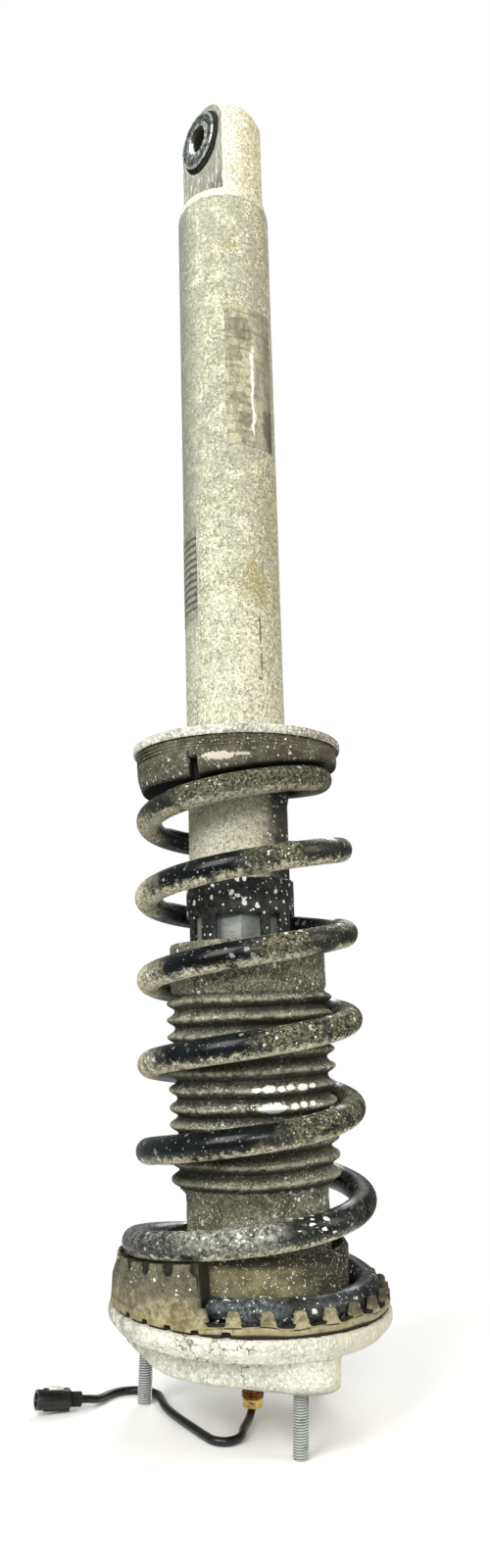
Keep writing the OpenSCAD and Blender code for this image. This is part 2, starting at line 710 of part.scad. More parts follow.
mount_plate();
mount_studs();
mount_bush();
bush_core();
lower_washer();
rod_nut();
spring_pad();
coil_spring();
dust_boot();
bump_cup();
bump_stop();
piston_rod();
rebound_stop();
piston();
piston_band();
valve_body();
cable_gland();
gland_seal();
signal_lead();
connector_housing();
connector_seal();
connector_latch();
outer_tube();
eye_head();
spring_perch();
perch_ring();
perch_seat();
tube_cap();
closure_nut();
rod_seal();
rod_guide();
eye_bush_ring();
eye_bush_rubber();
tube_label();
code_label();
gas_piston();
gas_piston_seal();
eye_sleeve();
eye_washers();
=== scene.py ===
"""Looks of a coil-over damper strut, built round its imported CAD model. Lengths are in millimetres."""
import math
from math import cos, pi, radians, sin

import bmesh
import bpy
import numpy as np
from mathutils import Matrix, Vector


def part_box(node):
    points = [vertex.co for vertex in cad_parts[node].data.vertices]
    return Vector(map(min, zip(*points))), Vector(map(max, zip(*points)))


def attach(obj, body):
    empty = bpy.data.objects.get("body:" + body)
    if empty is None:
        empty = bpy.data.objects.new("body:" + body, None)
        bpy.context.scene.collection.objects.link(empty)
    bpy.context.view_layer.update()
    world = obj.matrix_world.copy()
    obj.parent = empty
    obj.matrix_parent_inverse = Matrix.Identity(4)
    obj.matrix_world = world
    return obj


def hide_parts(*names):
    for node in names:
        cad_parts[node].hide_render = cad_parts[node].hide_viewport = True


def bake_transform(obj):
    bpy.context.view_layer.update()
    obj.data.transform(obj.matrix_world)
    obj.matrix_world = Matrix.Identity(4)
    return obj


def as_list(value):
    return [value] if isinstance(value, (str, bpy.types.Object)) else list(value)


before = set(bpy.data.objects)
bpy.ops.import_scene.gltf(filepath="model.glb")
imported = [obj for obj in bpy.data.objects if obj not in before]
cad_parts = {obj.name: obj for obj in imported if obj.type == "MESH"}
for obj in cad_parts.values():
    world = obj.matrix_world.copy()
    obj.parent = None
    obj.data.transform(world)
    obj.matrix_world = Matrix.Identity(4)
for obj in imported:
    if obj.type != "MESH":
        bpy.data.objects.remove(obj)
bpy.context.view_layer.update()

MM = 0.001
scene = bpy.context.scene


def setup(thing, **values):
    for name, value in values.items():
        setattr(thing, name, value)
    return thing


def put(name, data):
    """A new object in the scene."""
    made = bpy.data.objects.new(name, data)
    scene.collection.objects.link(made)
    return made


# ---- Sizes, from the frame where it gives them ----

def sizes(node):
    """How far a CAD node reaches along +X, its lowest and its highest Z, in millimetres."""
    low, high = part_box(node)
    return high[0] / MM, low[2] / MM, high[2] / MM


LEAN = radians(2.5)  # of the mount plate against the rod
SHIFT = 1.2  # of the mount plate to one side
MOUNT_H, BOSS_H = 28, 16
STUD_R, STUD_TIP = 4, 31.4  # the tip is that far past the mating face
STUD_SPOTS = [(25, -51.5), (-57, 20.5), (39, 44)]
NECK_R, ROD_R = 6, 10
THREAD_BELOW = -sizes("piston_rod")[1]
SHOULDER_Z = MOUNT_H + 18

TUBE_R, TUBE_Z, TUBE_TOP = sizes("outer_tube")
BORE_R = TUBE_R - 4
EYE_Z = sum(sizes("eye_sleeve")[1:]) / 2
EYE_TURN = radians(216)
EYE_HALF = 15.5
BUSH_R, BOLT_R, SLEEVE_R, WASHER_R = 19.5, 7.1, 12, 17.5
SLEEVE_HALF = EYE_HALF + 4

PERCH_Z = sizes("perch_seat")[2]
PERCH_R = sizes("spring_perch")[0]
PERCH_HUB_R = TUBE_R + 4
CAP_R, CAP_Z, CAP_TOP = sizes("tube_cap")

WIRE_R, TURNS = 7.25, 6.45
MOUNT_COIL_R, FLARE, DRAW_IN = 63.05, 6.8, 8.2
TAIL = radians(-109)
SPRING_LOW, SPRING_HIGH = 36.75, PERCH_Z - 6.3 - WIRE_R

BOOT_FOOT_Z, BOOT_TOP = MOUNT_H + 3, CAP_Z + 6
BOOT_SHIFT, BOOT_LEAN = 6.3, radians(-1)

LEAD_R = 2.1
LEAD_ROUTE = [
    (0, 0, -20.8), (-0.3, -0.9, -24.3), (-1.1, -3.3, -27), (-2.2, -6.8, -28.6), (-3.3, -11, -29),
    (-4.4, -16, -29), (-5.4, -22, -28.9), (-6.1, -28.8, -28.8), (-8.6, -35, -28.6),
    (-14.2, -38, -28.5), (-20, -36.4, -28.3), (-24.4, -31, -28.1), (-30.4, -21.6, -27.8),
    (-37, -11, -27.5), (-43, -0.5, -27.2), (-47.4, 9, -26.9), (-49.8, 18.2, -26.8),
    (-52.6, 26.4, -26.6), (-58.6, 31.8, -26.4), (-66.4, 33.2, -26.1), (-73.8, 31, -25.8),
    (-79.2, 26, -25.5), (-82.4, 19.6, -25), (-85, 14.4, -24), (-88.5, 11.2, -22.8), (-92.5, 9.4, -22.2),
]


def about(axis, angle):
    return Matrix.Rotation(angle, 4, axis)


def moved(*by):
    return Matrix.Translation(by)


ON_MOUNT = about("Y", LEAN) @ moved(-SHIFT, 0, 0)
ON_EYE = moved(0, 0, EYE_Z) @ about("Z", EYE_TURN) @ about("Y", pi / 2)
ON_BOOT = moved(BOOT_SHIFT, 0, BOOT_FOOT_Z) @ about("Y", BOOT_LEAN)
lead_last = Vector(LEAD_ROUTE[-1]) - Vector(LEAD_ROUTE[-2])
ON_CONNECTOR = (moved(*LEAD_ROUTE[-1]) @ about("Z", math.atan2(lead_last.y, lead_last.x))
    @ about("Y", -math.asin(lead_last.z / lead_last.length)))


# ---- Camera ----

IMAGE_H = 1600  # the picture's height, in pixels
FOCAL = 1110  # pixels
HORIZON_Y = 819  # the row of pixels that the lens axis meets
PITCH, YAW, ROLL = radians(10.72), radians(0.39), radians(-1.53)
CAMERA_AT = (0, -0.6276, 0.1824)  # metres
SENSOR = 36
camera = put("view", setup(
    bpy.data.cameras.new("view"), sensor_fit="AUTO", sensor_width=SENSOR, lens=FOCAL / IMAGE_H * SENSOR,
    shift_y=(HORIZON_Y - IMAGE_H / 2) / IMAGE_H, clip_start=0.01))
ahead = Vector((sin(YAW) * cos(PITCH), cos(YAW) * cos(PITCH), sin(PITCH)))
level = Vector((cos(YAW), -sin(YAW), 0))
upright = level.cross(ahead)
right = cos(ROLL) * level + sin(ROLL) * upright
up = -sin(ROLL) * level + cos(ROLL) * upright
camera.matrix_world = moved(*CAMERA_AT) @ Matrix((right, up, -ahead)).transposed().to_4x4()
scene.camera = camera


# ---- Procedural materials ----

def linear(shown):
    """The shader's linear colour for 0xrrggbb, a colour as it shows."""
    shares = [c / 255 for c in shown.to_bytes(3, "big")]
    return Vector([c / 12.92 if c <= 0.04045 else ((c + 0.055) / 1.055) ** 2.4 for c in shares])


class Mask:
    """An output of a node: a value at each point. +, -, * and ** calculate with it, and | takes the higher one."""

    def __init__(self, kind, *given, output=0, source=None, **named):
        self.kind, self.given, self.named, self.output, self.source = kind, given, named, output, source or self

    def at(self, output):
        """Another output of the same node."""
        return Mask(self.kind, output=output, source=self)

    def ramp(self, low, high, start=0, end=1):
        """A smooth step from start, where this is low, to end, where it is high."""
        return Mask("MapRange", self, low, high, start, end, interpolation_type="SMOOTHSTEP")

    def between(self, low, high, soft):
        """1 from low to high, fading to 0 over soft on each side."""
        return self.ramp(low - soft, low + soft) * self.ramp(high + soft, high - soft)


for method, kind in (("add", "ADD"), ("sub", "SUBTRACT"), ("mul", "MULTIPLY"), ("pow", "POWER"), ("or", "MAXIMUM"),
        ("abs", "ABSOLUTE")):
    setattr(Mask, "__%s__" % method, lambda *given, kind=kind: Mask("Math", *given, operation=kind))


class Nodes:
    """A node tree. It makes the nodes of a mask when the mask is first linked."""

    def __init__(self, tree):
        self.tree, self.made = tree, {}

    def link(self, value, socket):
        """Links a mask or a socket, or sets a constant. A colour is 0xrrggbb as it shows, or a linear Vector."""
        if isinstance(value, Mask):
            source = value.source
            if source not in self.made:
                self.made[source] = self.node(source.kind, *source.given, **source.named)
            value = self.made[source][value.output]
        if isinstance(value, bpy.types.NodeSocket):
            self.tree.links.new(value, socket)
        elif value is not None and socket.type == "RGBA":
            socket.default_value = (*(linear(value) if isinstance(value, int) else value), 1)
        elif value is not None:
            socket.default_value = value

    def node(self, kind, *given, **named):
        return self.fill(self.tree.nodes.new("ShaderNode" + kind), *given, **named)

    def fill(self, node, *given, **named):
        """Sets a node's inputs, in order or by capitalised names, and its settings. Returns its outputs."""
        setup(node, **{name: value for name, value in named.items() if name.islower()})
        for name, value in named.items():
            if not name.islower():
                self.link(value, node.inputs[name.replace("_", " ")])
        for value, socket in zip(given, node.inputs):
            self.link(value, socket)
        return node.outputs


def split(vector):
    parts = Mask("SeparateXYZ", vector)
    return [parts.at(axis) for axis in range(3)]


def vector(kind, *given, output=0):
    return Mask("VectorMath", *given, operation=kind, output=output)


OBJECT = Mask("TexCoord", output="Object")
PLACE = vector("MULTIPLY", OBJECT, (1 / MM,) * 3)
X, Y, Z = split(PLACE)
NORMAL_X, NORMAL_Y, NORMAL_Z = split(Mask("NewGeometry", output="Normal"))
LOOKS = {}


def material(name, colour, *bumps, carried=False, **sockets):
    """Adds a look. A bump has its height and its depth, and the other sockets have the shader's names."""
    made = LOOKS[name] = bpy.data.materials.new(name)
    made.use_nodes = True
    nodes = Nodes(made.node_tree)
    if carried:  # its rest places are kept on its points, for the masks to read
        nodes.made[OBJECT] = {"Object": nodes.node("Attribute", attribute_name="rest_place")["Vector"]}
    normal = None
    for height, depth in bumps:
        normal = nodes.node("Bump", Distance=depth * MM, Height=height, Normal=normal)[0]
    nodes.fill(nodes.tree.nodes["Principled BSDF"], Base_Color=colour, Normal=normal, **sockets)


def mapped(size, offset, stretch):
    return Mask("Mapping", PLACE, offset, Scale=[1 / (size * s) for s in stretch])


def noise(size, detail=3, rough=0.55, offset=(0, 0, 0), stretch=(1, 1, 1)):
    """Noise from 0 to 1 around 0.5, with lumps of that size."""
    return Mask("TexNoise", mapped(size, offset, stretch), Scale=1, Detail=detail, Roughness=rough)


def wander(reach, *lumps):
    """Noise around 0, over that reach in all."""
    return (noise(*lumps) - 0.5) * reach


SPOT_FRAY = 0.6  # in cells


def spots(size, share, offset=(0, 0, 0), stretch=(1, 1, 1)):
    """Frayed spots of many sizes up to size, most of them small, in that share of the cells."""
    places = mapped(size, offset, stretch)
    torn = Mask("TexNoise", places, Scale=2.2, Detail=2, output="Color")
    cells = Mask("TexVoronoi", vector("MULTIPLY_ADD", torn, (SPOT_FRAY,) * 3, places), Scale=1)
    reach = split(cells.at("Color"))[0].ramp(1 - share, 1) ** 1.6 * 0.5
    return (reach - cells.at("Distance")).ramp(-0.02, 0.06)


def patches(colour, share, fray, grain, *places):
    """A coat for each ragged patch, given by its centre and its half sizes along X, Y and Z."""
    for centre, size in places:
        away = vector("LENGTH", vector("DIVIDE", vector("SUBTRACT", PLACE, centre), size), output="Value")
        yield colour, (away + wander(2 * fray, grain)).ramp(1.05, 0.85) * share


def mix(below, above, share):
    return Mask("Mix", share, *[None] * 5, below, above, data_type="RGBA", output=2)


def coated(colour, *coats):
    """A colour under coats. Each has its own colour and its share."""
    for coat, share in coats:
        colour = mix(colour, coat, share)
    return colour


def flecked(colour, size, share, fine):
    """The colour with white splashes in clusters: a few large ones and many fine ones."""
    near = noise(26, 3, 0.6, (2, 5, 8)).ramp(0.42, 0.6)
    return coated(colour, (WHITE_SPECK, spots(size, share) * near),
        (WHITE_SPECK, spots(size * 0.5, fine, (7, 3, 5)) * near.ramp(0, 1, 0.3, 1)),
        (WHITE_SPECK, spots(size * 0.27, fine, (1, 9, 4)) * 0.8))


def distance(first, second):
    return (first ** 2 + second ** 2) ** 0.5


WHITE_SPECK = 0xf6f6ee
FROM_AXIS = distance(X, Y)
MOUNT_LEVEL = Z + X * sin(LEAN)  # height over the mating face, which leans against the rod
ALONG_BOLT = X * cos(EYE_TURN) + Y * sin(EYE_TURN)
FROM_BOLT = distance(Z - EYE_Z, X * -sin(EYE_TURN) + Y * cos(EYE_TURN))


def cast_look(name, pale, grey, dots, tint, tint_from, tint_to, dotted, *coats, bumps=()):
    """Oxidised aluminium: pale, mottled grey, finely dotted, and tinted towards +X."""
    side = (X + wander(18, 20)).ramp(tint_from, tint_to)
    material(name, coated(pale, (grey, noise(14, 4).ramp(0.4, 0.68)), (tint, side * 0.8),
        (dots, noise(3, 5, 0.8).ramp(0.47, 0.57) * side.ramp(0, 1, 0.55 * dotted, 0.7 * dotted)),
        (dots, noise(1.3, 3, 0.8, (3, 9, 4)).ramp(0.5, 0.58) * (0.75 * dotted)),
        (0xf0f0e2, noise(1.7, 4, 0.75, (11, 2, 6)).ramp(0.53, 0.59) * 0.85), *coats),
        (noise(2.2, 5, 0.7), 0.4), (spots(1.8, 0.35, (2, 8, 1)), -0.14), *bumps,
        Roughness=0.72, Metallic=0, Specular_IOR_Level=0.3)


def tube_look():
    stain = noise(1.6, 3, 0.8).ramp(0.44, 0.56, 0.15, 0.6)
    # below the perch the side to +X is painted black: old grease and painted shade, fading in across X
    low = Z.ramp(PERCH_Z - 4, PERCH_Z - 12)
    grease_and_shade = low * (X + wander(14, 1.7, 4, 0.8, (6, 2, 2)) + wander(10, 6, 4)).ramp(7, 24)
    cast_look("tube_alloy", 0xd6d5b8, 0xb4b396, 0x686542, 0xbeb582, 2, 30, 1,
        (0x969684, noise(5, 4, 0.7, (2, 1, 0), (1, 1, 12)).ramp(0.5, 0.62) * 0.3),
        (0x8c8d7c, Z.ramp(400, 510, 0, 0.55) * noise(13, 4, 0.65, (8, 8, 1)).ramp(0.36, 0.6)),
        # painted shade down the tube's side to -X
        (0x70766c, (X + wander(10, 9, 4, 0.7)).ramp(-15, -27) * Z.ramp(380, 460, 0.72, 1)
            * noise(1.5, 3, 0.8, (1, 1, 1)).ramp(0.42, 0.6, 0.9, 0.45)),
        # cleaner and paler towards the perch
        (0xe2e2d0, Z.ramp(PERCH_Z + 110, PERCH_Z + 20) * noise(2.2, 4, 0.75, (6, 6, 2)).ramp(0.46, 0.58, 0, 0.6)),
        # brown stains on the front, and the drip that runs below one of them
        *patches(0x887a38, stain, 1.3, 3, ((13, -26, 428), (8, 12, 13)), ((16, -24, 419), (4, 9, 6)),
            ((3, -29, 648), (6, 9, 4))),
        *patches(0x564e2e, 0.8, 0.9, 2, ((15.6, -24.4, 398), (0.55, 4, 11)), ((16, -24.2, 379), (0.5, 4, 8)),
            ((14.6, -25, 369), (1.6, 4, 0.8))),
        (0xe2dec6, low * noise(3, 5, 0.75, (1, 5, 1)).ramp(0.42, 0.56, 0.1, 0.6)),
        (0x605e4a, low * noise(1.5, 4, 0.85, (8, 5, 3)).ramp(0.5, 0.58, 0, 0.6)),
        (0xc4b084, low * noise(7, 4, 0.6, (1, 1, 1)).ramp(0.5, 0.7, 0, 0.5)),
        (0x201f1b, grease_and_shade * 0.95), (WHITE_SPECK, grease_and_shade * spots(2.4, 0.5, (1, 2, 3))))


def eye_look():
    # the machined flats are bare grey metal with scrapes down them
    facing = abs(NORMAL_X * cos(EYE_TURN) + NORMAL_Y * sin(EYE_TURN)).ramp(0.93, 0.985)
    bare = mix(0x848478, 0x5c5c54, Z.ramp(EYE_Z - 30, EYE_Z - 42))
    scrapes = noise(2.2, 5, 0.75, stretch=(1, 1, 4)).ramp(0.5, 0.64)
    cast_look("eye_alloy", 0xe8e8da, 0xd4d3c0, 0x86825c, 0xcec596, 4, 24, 0.8,
        (mix(bare, 0xcecec4, scrapes), facing * abs(ALONG_BOLT).ramp(EYE_HALF + 1.5, EYE_HALF + 0.4) * 0.92))


def mount_look():
    cracks = abs(noise(24, 4, 0.6, stretch=(1, 1, 0.7)) - 0.5).ramp(0, 0.012, 1, 0)
    # painted shade in the fold between the flange and the boss
    wobble = wander(X.ramp(10, -35, 1.2, 6), 7, 5, 0.75)
    fold_shade = (MOUNT_LEVEL + wobble).between(BOSS_H - 0.35, BOSS_H + 0.35, 0.35)
    cast_look("mount_alloy", 0xdeded0, 0xc6c6b8, 0x706e5c, 0xd0ccb4, 10, 70, 0.5,
        (0x34322a, cracks * noise(30, 1, 0.55, (4, 0, 2)).ramp(0.5, 0.6) * 0.9),
        (0x3c3a32, Z.ramp(4, -1.5, 0, 0.6)), (0x2c2921, fold_shade * X.ramp(10, -30, 0.4, 0.95)),
        (0xc4c0a8, X.ramp(30, 52) * Z.ramp(20, 12, 0.5, 0.85)),
        (0x706a58, X.ramp(-46, -68) * noise(8, 5, 0.75, (9, 2, 2)).ramp(0.4, 0.6, 0, 0.75)))


def coil_look():
    """Glossy dark enamel under dust, mud and splashes."""
    away = wander(86, 24, 5, 0.65)
    fine = wander(2, 3.6, 5, 0.8)
    front = Y.ramp(24, 6)
    # dust on the side to +X, with bare places; a crust under the turns and at their ends to -X
    bare = noise(13, 4, 0.7, (6, 1, 3)).ramp(0.51, 0.58) * X.ramp(24, 40)
    for height in (266, 217):  # two turns are nearly clean at their ends to +X
        bare |= (Z + fine * 2).between(height - 8, height + 6, 2) * X.ramp(30, 40)
    dusty = (X + away).ramp(-2, 26) * bare.ramp(0, 1, 1, 0.15)
    top = Z.ramp(276, 288) * (X + away * 0.4).ramp(-42, -30)
    thin = noise(2.2, 5, 0.85, (3, 2, 9)).ramp(0.38, 0.52).ramp(0, 1, 0.5, 0.95)
    dusty = (dusty | top) * front * thin * Z.ramp(86, 102, 0.12, 1)
    under = (fine - NORMAL_Z).ramp(0.42, 0.75) * noise(19, 3, 0.55, (1, 1, 5)).ramp(0.34, 0.5)
    tips = ((away * 0.3 - X).ramp(40, 60) * Z.between(130, 290, 4)
        * noise(6, 5, 0.8, (7, 7, 1)).ramp(0.36, 0.52, 0.3, 1))
    crust = (under * 0.9 | tips) * front
    # the lowest turn in sight is smeared grey: mottled at -X, washed pale in the middle, black at +X
    low = Z.between(66, 88, 8)
    here = X + away * 0.16
    washed = here.between(-36, 16, 8) * noise(7, 5, 0.8, (4, 4, 4)).ramp(0.34, 0.54, 0.2, 0.95)
    mottled = here.ramp(-30, -38) * noise(3.4, 5, 0.85, (2, 8, 4)).ramp(0.46, 0.58, 0.1, 0.9)
    rubbed = here.ramp(50, 56) * noise(4.5, 5, 0.85, (5, 8, 1)).ramp(0.5, 0.6, 0, 0.5)
    marbled = low * (washed | mottled | rubbed)
    # grey mud on the turn that lies in the pad
    in_pad = Z.ramp(64, 54)
    mud = in_pad * noise(15, 4, 0.7, (8, 3, 3)).ramp(0.36, 0.54) * here.ramp(22, 8, 0.25, 0.75)
    dull = dusty | crust | (marbled | mud) * 0.7
    colour = coated(0x050809, (0x12191b, noise(30, 2).ramp(0.4, 0.65)), *(
        (mix(dark, pale, grain), share) for dark, pale, grain, share in (
            (0x2e2d23, 0x969478, noise(1.8, 5, 0.85, (8, 1, 2)).ramp(0.42, 0.6), dusty),
            (0x3a3c39, 0xbebfb2, noise(2, 5, 0.85, (9, 6, 2)).ramp(0.38, 0.6), marbled),
            (0x343a3e, 0x767c7c, noise(2.4, 5, 0.8).ramp(0.4, 0.62), mud),
            (0x4a4630, 0xf4efcc, noise(1.7, 5, 0.85, (1, 6, 2)).ramp(0.4, 0.54), crust))))
    outer_end = X.ramp(50, 60)
    gloss = (outer_end | dull).ramp(0.1, 0.8, 1, 0.1)
    material("spring_enamel", coated(
        colour, (flecked(colour, 3.6, 0.2, 0.14), (dull | in_pad).ramp(0.05, 0.5, 0.25, 1)),
        (WHITE_SPECK, low * X.between(22, 44, 4) * spots(2.6, 0.5, (5, 1, 7), (2.2, 1, 0.7))),
        (0x1a1a16, outer_end * Z.ramp(104, 116, 0.5, 0)), (0x3a382c, Z.ramp(276, 288, 0, 0.22))),
        (dull * noise(1.6, 5, 0.75, (2, 2, 2)), 0.9), carried=True, Coat_Roughness=0.08, Coat_IOR=1.35,
        Coat_Weight=gloss * 0.22, Specular_IOR_Level=gloss * 0.2, Roughness=dull.ramp(0.1, 0.8, 0.26, 0.85))


def rubber_look(name, dark, dusty, *coats, specks=0, carried=False, grain=1.8, share=0.5):
    blotch = noise(11, 5, 0.65).ramp(0.38, 0.66)
    powder = noise(grain, 4, 0.8, (5, 1, 3)).ramp(0.44, 0.58)
    grit = noise(1.3, 3, 0.8, (2, 7, 2)).ramp(0.56, 0.66) * (0.6 * min(specks, 1))
    colour = coated(dark, (dusty, blotch * share + powder * (1 - share)),
        (Vector([min(1, 2.6 * c) for c in linear(dusty)]), grit))
    if specks:
        colour = flecked(colour, 2.3, 0.2 * specks, 0.24 * specks)
    material(name, coated(colour, *coats), (noise(1.2, 4, 0.7), 0.18), (noise(6, 4, 0.7, (3, 3, 8)), 0.3),
        carried=carried, Roughness=0.82, Specular_IOR_Level=0.25)


def boot_look():
    out = distance(X + (2 - BOOT_SHIFT), Y)
    folds = Z.between(89, 191, 1)
    # white splashes over two ribs: place across, height, half width and half height
    rib_r = 46.5
    splashes = [((across, -math.sqrt(rib_r ** 2 - (across - BOOT_SHIFT) ** 2), height), (half, 7, tall))
        for across, height, half, tall in (
            (6, 140.6, 3, 1.3), (12.5, 141, 3.6, 2.1), (19, 140.8, 2.2, 1.8), (24, 141.4, 2.4, 1.5),
            (30.5, 141.2, 3.2, 2), (36, 141.6, 2.2, 1.4), (15, 131.2, 8, 3), (26, 131.6, 2.6, 1.7),
            (31, 132.4, 2.4, 1.6), (36, 132.6, 2, 1.5))]
    rubber_look("boot_rubber", 0x38372d, 0x8c8a72,
        (0x4a493c, noise(24, 4, 0.7, (2, 9, 9), (1, 1, 0.5)).ramp(0.46, 0.6, 0, 0.5)),
        # painted shade on the faces of the folds that look down, and deeper painted shade in the valleys between the
        # ribs
        (0x22211b, NORMAL_Z.ramp(0.1, -0.5) * folds * 0.7), (0x12120f, out.ramp(45.2, 42.2) * folds * 0.82),
        (0xacaa92, out.ramp(45.4, 47) * folds * noise(4, 4, 0.7).ramp(0.4, 0.6, 0, 0.7)),
        *patches(WHITE_SPECK, 1, 0.6, 1.7, *splashes), specks=1.5, carried=True)


def pad_look():
    outer, inside = FROM_AXIS.ramp(66, 71), FROM_AXIS.ramp(57, 54.5)
    mud = coated(0x686248, (0xaca482, noise(3.6, 5, 0.75, (2, 7, 7)).ramp(0.38, 0.62)),
        (0x685832, noise(19, 4, 0.65, (3, 1, 7)).ramp(0.52, 0.66, 0, 0.6)),
        (0x5c5844, X.ramp(-44, -62) * noise(8, 5, 0.7, (5, 5, 2)).ramp(0.4, 0.58, 0.2, 0.9)),
        (0x302c1f, (X + wander(20, 9)).ramp(34, 58, 0, 0.88) * MOUNT_LEVEL.ramp(33, 39, 0.3, 1)))
    low = (MOUNT_LEVEL + wander(16, 12, 3)).ramp(46, 36)
    right_side = (X + wander(20, 15, 3, 0.55, (3, 3, 3))).ramp(-28, -10)
    foot = MOUNT_LEVEL.ramp(35.5, 33.5) * outer * X.ramp(-34, -12)
    ochre = MOUNT_LEVEL.ramp(34.5, 31.5) * noise(16, 3, 0.55, (7, 1, 1)).ramp(0.42, 0.56)
    # painted shadow in the inset gap of the pad's foot
    groove = FROM_AXIS.ramp(74.75, 74.3) * MOUNT_LEVEL.ramp(35, 34.5) * FROM_AXIS.ramp(70, 71)
    # painted shade in the pockets of the rim wall to -X
    pocket_shade = FROM_AXIS.ramp(70.6, 69.6) * MOUNT_LEVEL.ramp(44, 46) * X.ramp(-20, -30)
    # the last coat of the collar is painted shade towards +X
    collar = coated(0x5c583e, (0x96906c, noise(9, 4, 0.6, (1, 8, 1)).ramp(0.36, 0.66)),
        (0x282720, MOUNT_LEVEL.ramp(53, 57, 0, 0.85)), (0x2a281f, X.ramp(14, 40, 0, 0.85)))
    rubber_look("pad_rubber", 0x424032, 0x706d57, (mud, outer * (low * 0.9 | right_side * 0.8)),
        (0xaca584, foot * noise(3.2, 5, 0.8, (6, 4, 4)).ramp(0.36, 0.56, 0.1, 0.7)),
        (0x8e8056, ochre * outer * 0.45),
        # painted shadow in the foot's gap and along its lowest edge, and painted shade in the pockets
        (0x0e0d0a, (groove | MOUNT_LEVEL.ramp(29.5, 29.1) * outer) * 0.95), (0x1e1b13, pocket_shade * 0.88),
        (flecked(collar, 2, 0.16, 0.25), inside),
        (0x262520, (outer - 1) * (inside - 1) * 0.8), specks=0.3, grain=2.4)


def metal_look(name, colour, stain, rough=0.35, stained=0.4, metallic=1, size=6, grain=(1, 1, 1)):
    spoiled = noise(size, 5, 0.7, stretch=grain).ramp(0.62 - stained * 0.3, 0.74 - stained * 0.2)
    # painted shade in the thread valleys, from the groove share kept on the points
    groove = Mask("Attribute", attribute_name="groove", output="Fac")
    material(name, coated(colour, (stain, spoiled * 0.85), (0x343836, groove * 0.85)),
        (noise(1.1, 4, 0.7, stretch=grain), 0.06), Metallic=metallic,
        Roughness=spoiled.ramp(0, 1, rough, min(1, rough + 0.35)))


def bush_ring_look():
    worn = noise(2.6, 5, 0.75).ramp(0.44, 0.6)
    rim = FROM_BOLT.between(WASHER_R - 1.5, WASHER_R + 0.3, 0.3) * noise(3, 3).ramp(0.4, 0.5) * 0.85
    material("bush_steel", coated(0x3a413e, (0xa0a8a2, worn), (0xecf0ee, rim)),
        (noise(1, 4, 0.7), 0.1), Metallic=0.85, Roughness=worn.ramp(0, 1, 0.3, 0.55))


def sleeve_look():
    """Zinc outside. In the bore, painted shade with dark specks, and white grime towards its mouth."""
    mouth = (abs(ALONG_BOLT) + (Z - EYE_Z) * -0.7 + wander(7, 3)).ramp(15, 17.5)
    # the bore: painted shade, dark specks and white grime at the mouth
    bore_shade_and_dirt = coated(0x343422, (0xeceee8, mouth), (0x161612, spots(2.6, 0.45)))
    material("sleeve_steel", coated(
        0x4e5652, (0xbac2bc, noise(2.4, 4, 0.7).ramp(0.42, 0.62)), (bore_shade_and_dirt, FROM_BOLT.ramp(9.1, 8.7))),
        Metallic=0.4, Roughness=0.45)


def film_look(name, paper, marks, stretch, printed, *coats):
    """A faded printed film under the same grit as the tube. Rows of worn-off print are plain bars."""
    step, wide, ink, share = printed
    rows = Mask("Math", Z * (2 * pi / step), operation="SINE").ramp(0, wide)
    material(name, coated(paper, (marks, noise(6, 5, 0.7, stretch=stretch).ramp(0.44, 0.6, 0, 0.8)),
        (0x58553e, noise(1.6, 4, 0.8).ramp(0.5, 0.62) * 0.5),
        (0xd6d4be, noise(1.8, 4, 0.75, (4, 2, 9)).ramp(0.54, 0.62) * 0.5), (ink, rows * share), *coats),
        Roughness=0.42, Specular_IOR_Level=0.4)


def label_look():
    # dark worn blocks, the darker edge to +X, and a scraped white streak down the front
    away = wander(9, 5, 5, 0.8, (3, 3, 1), (1, 1, 2))
    film_look("label_film", 0xb6b292, 0x807d66, (1, 1, 3.5),
        (6.2, 0.35, 0x4e4d40, noise(9, 3, 0.6, (2, 2, 2), (1, 1, 0.4)).ramp(0.46, 0.56) * 0.45),
        *patches(0x58584a, 0.5, 0.8, 6, ((8, -27.5, 592), (8, 20, 8)), ((4, -28.6, 573), (6, 20, 5)),
            ((7, -28, 545), (5, 20, 4.5)), ((11, -26.6, 531), (5, 20, 5))),
        (0x68644e, X.ramp(12, 25, 0, 0.5)), *patches(0x423c2a, 0.7, 0.8, 7, ((27, -12, 530), (6, 20, 17))),
        (0xf0f0e6, (X + away).between(14.6, 16.4, 0.4) * (Z + away * 3).between(523, 578, 3)))


for add_look in (tube_look, eye_look, mount_look, coil_look, boot_look, pad_look, bush_ring_look, sleeve_look,
        label_look):
    add_look()
cast_look("perch_alloy", 0xe2e1d2, 0xb0ae9e, 0x54503e, 0x848070, 14, 44, 0.7,
    (0x464234, noise(9, 5, 0.7, (5, 5, 1)).ramp(0.54, 0.78, 0, 0.8)), bumps=[(noise(4, 4, 0.7), 0.5)])
rubber_look("seat_rubber", 0x38362c, 0x686452,
    (0x584a3c, X.ramp(10, 40) * noise(12, 3, 0.55, (6, 6, 6)).ramp(0.45, 0.6, 0, 0.6)),
    *patches(0xd0cbb6, 0.9, 0.85, 1.8, ((-10, -57.5, 316.8), (9.5, 6, 2.1))),
    *patches(0xd0cbb6, 0.8, 1.2, 1.6, ((3, -58, 317.4), (6, 6, 0.9))),
    (0x100f0d, FROM_AXIS.ramp(57, 54.5) * Z.ramp(319.5, 318.5)), specks=0.6, grain=2.2, share=0.65)
rubber_look("bush_rubber", 0x141413, 0x34332e)
rubber_look("seal_rubber", 0x141413, 0x34332e)
rubber_look("stop_foam", 0xb0a070, 0xcec092)
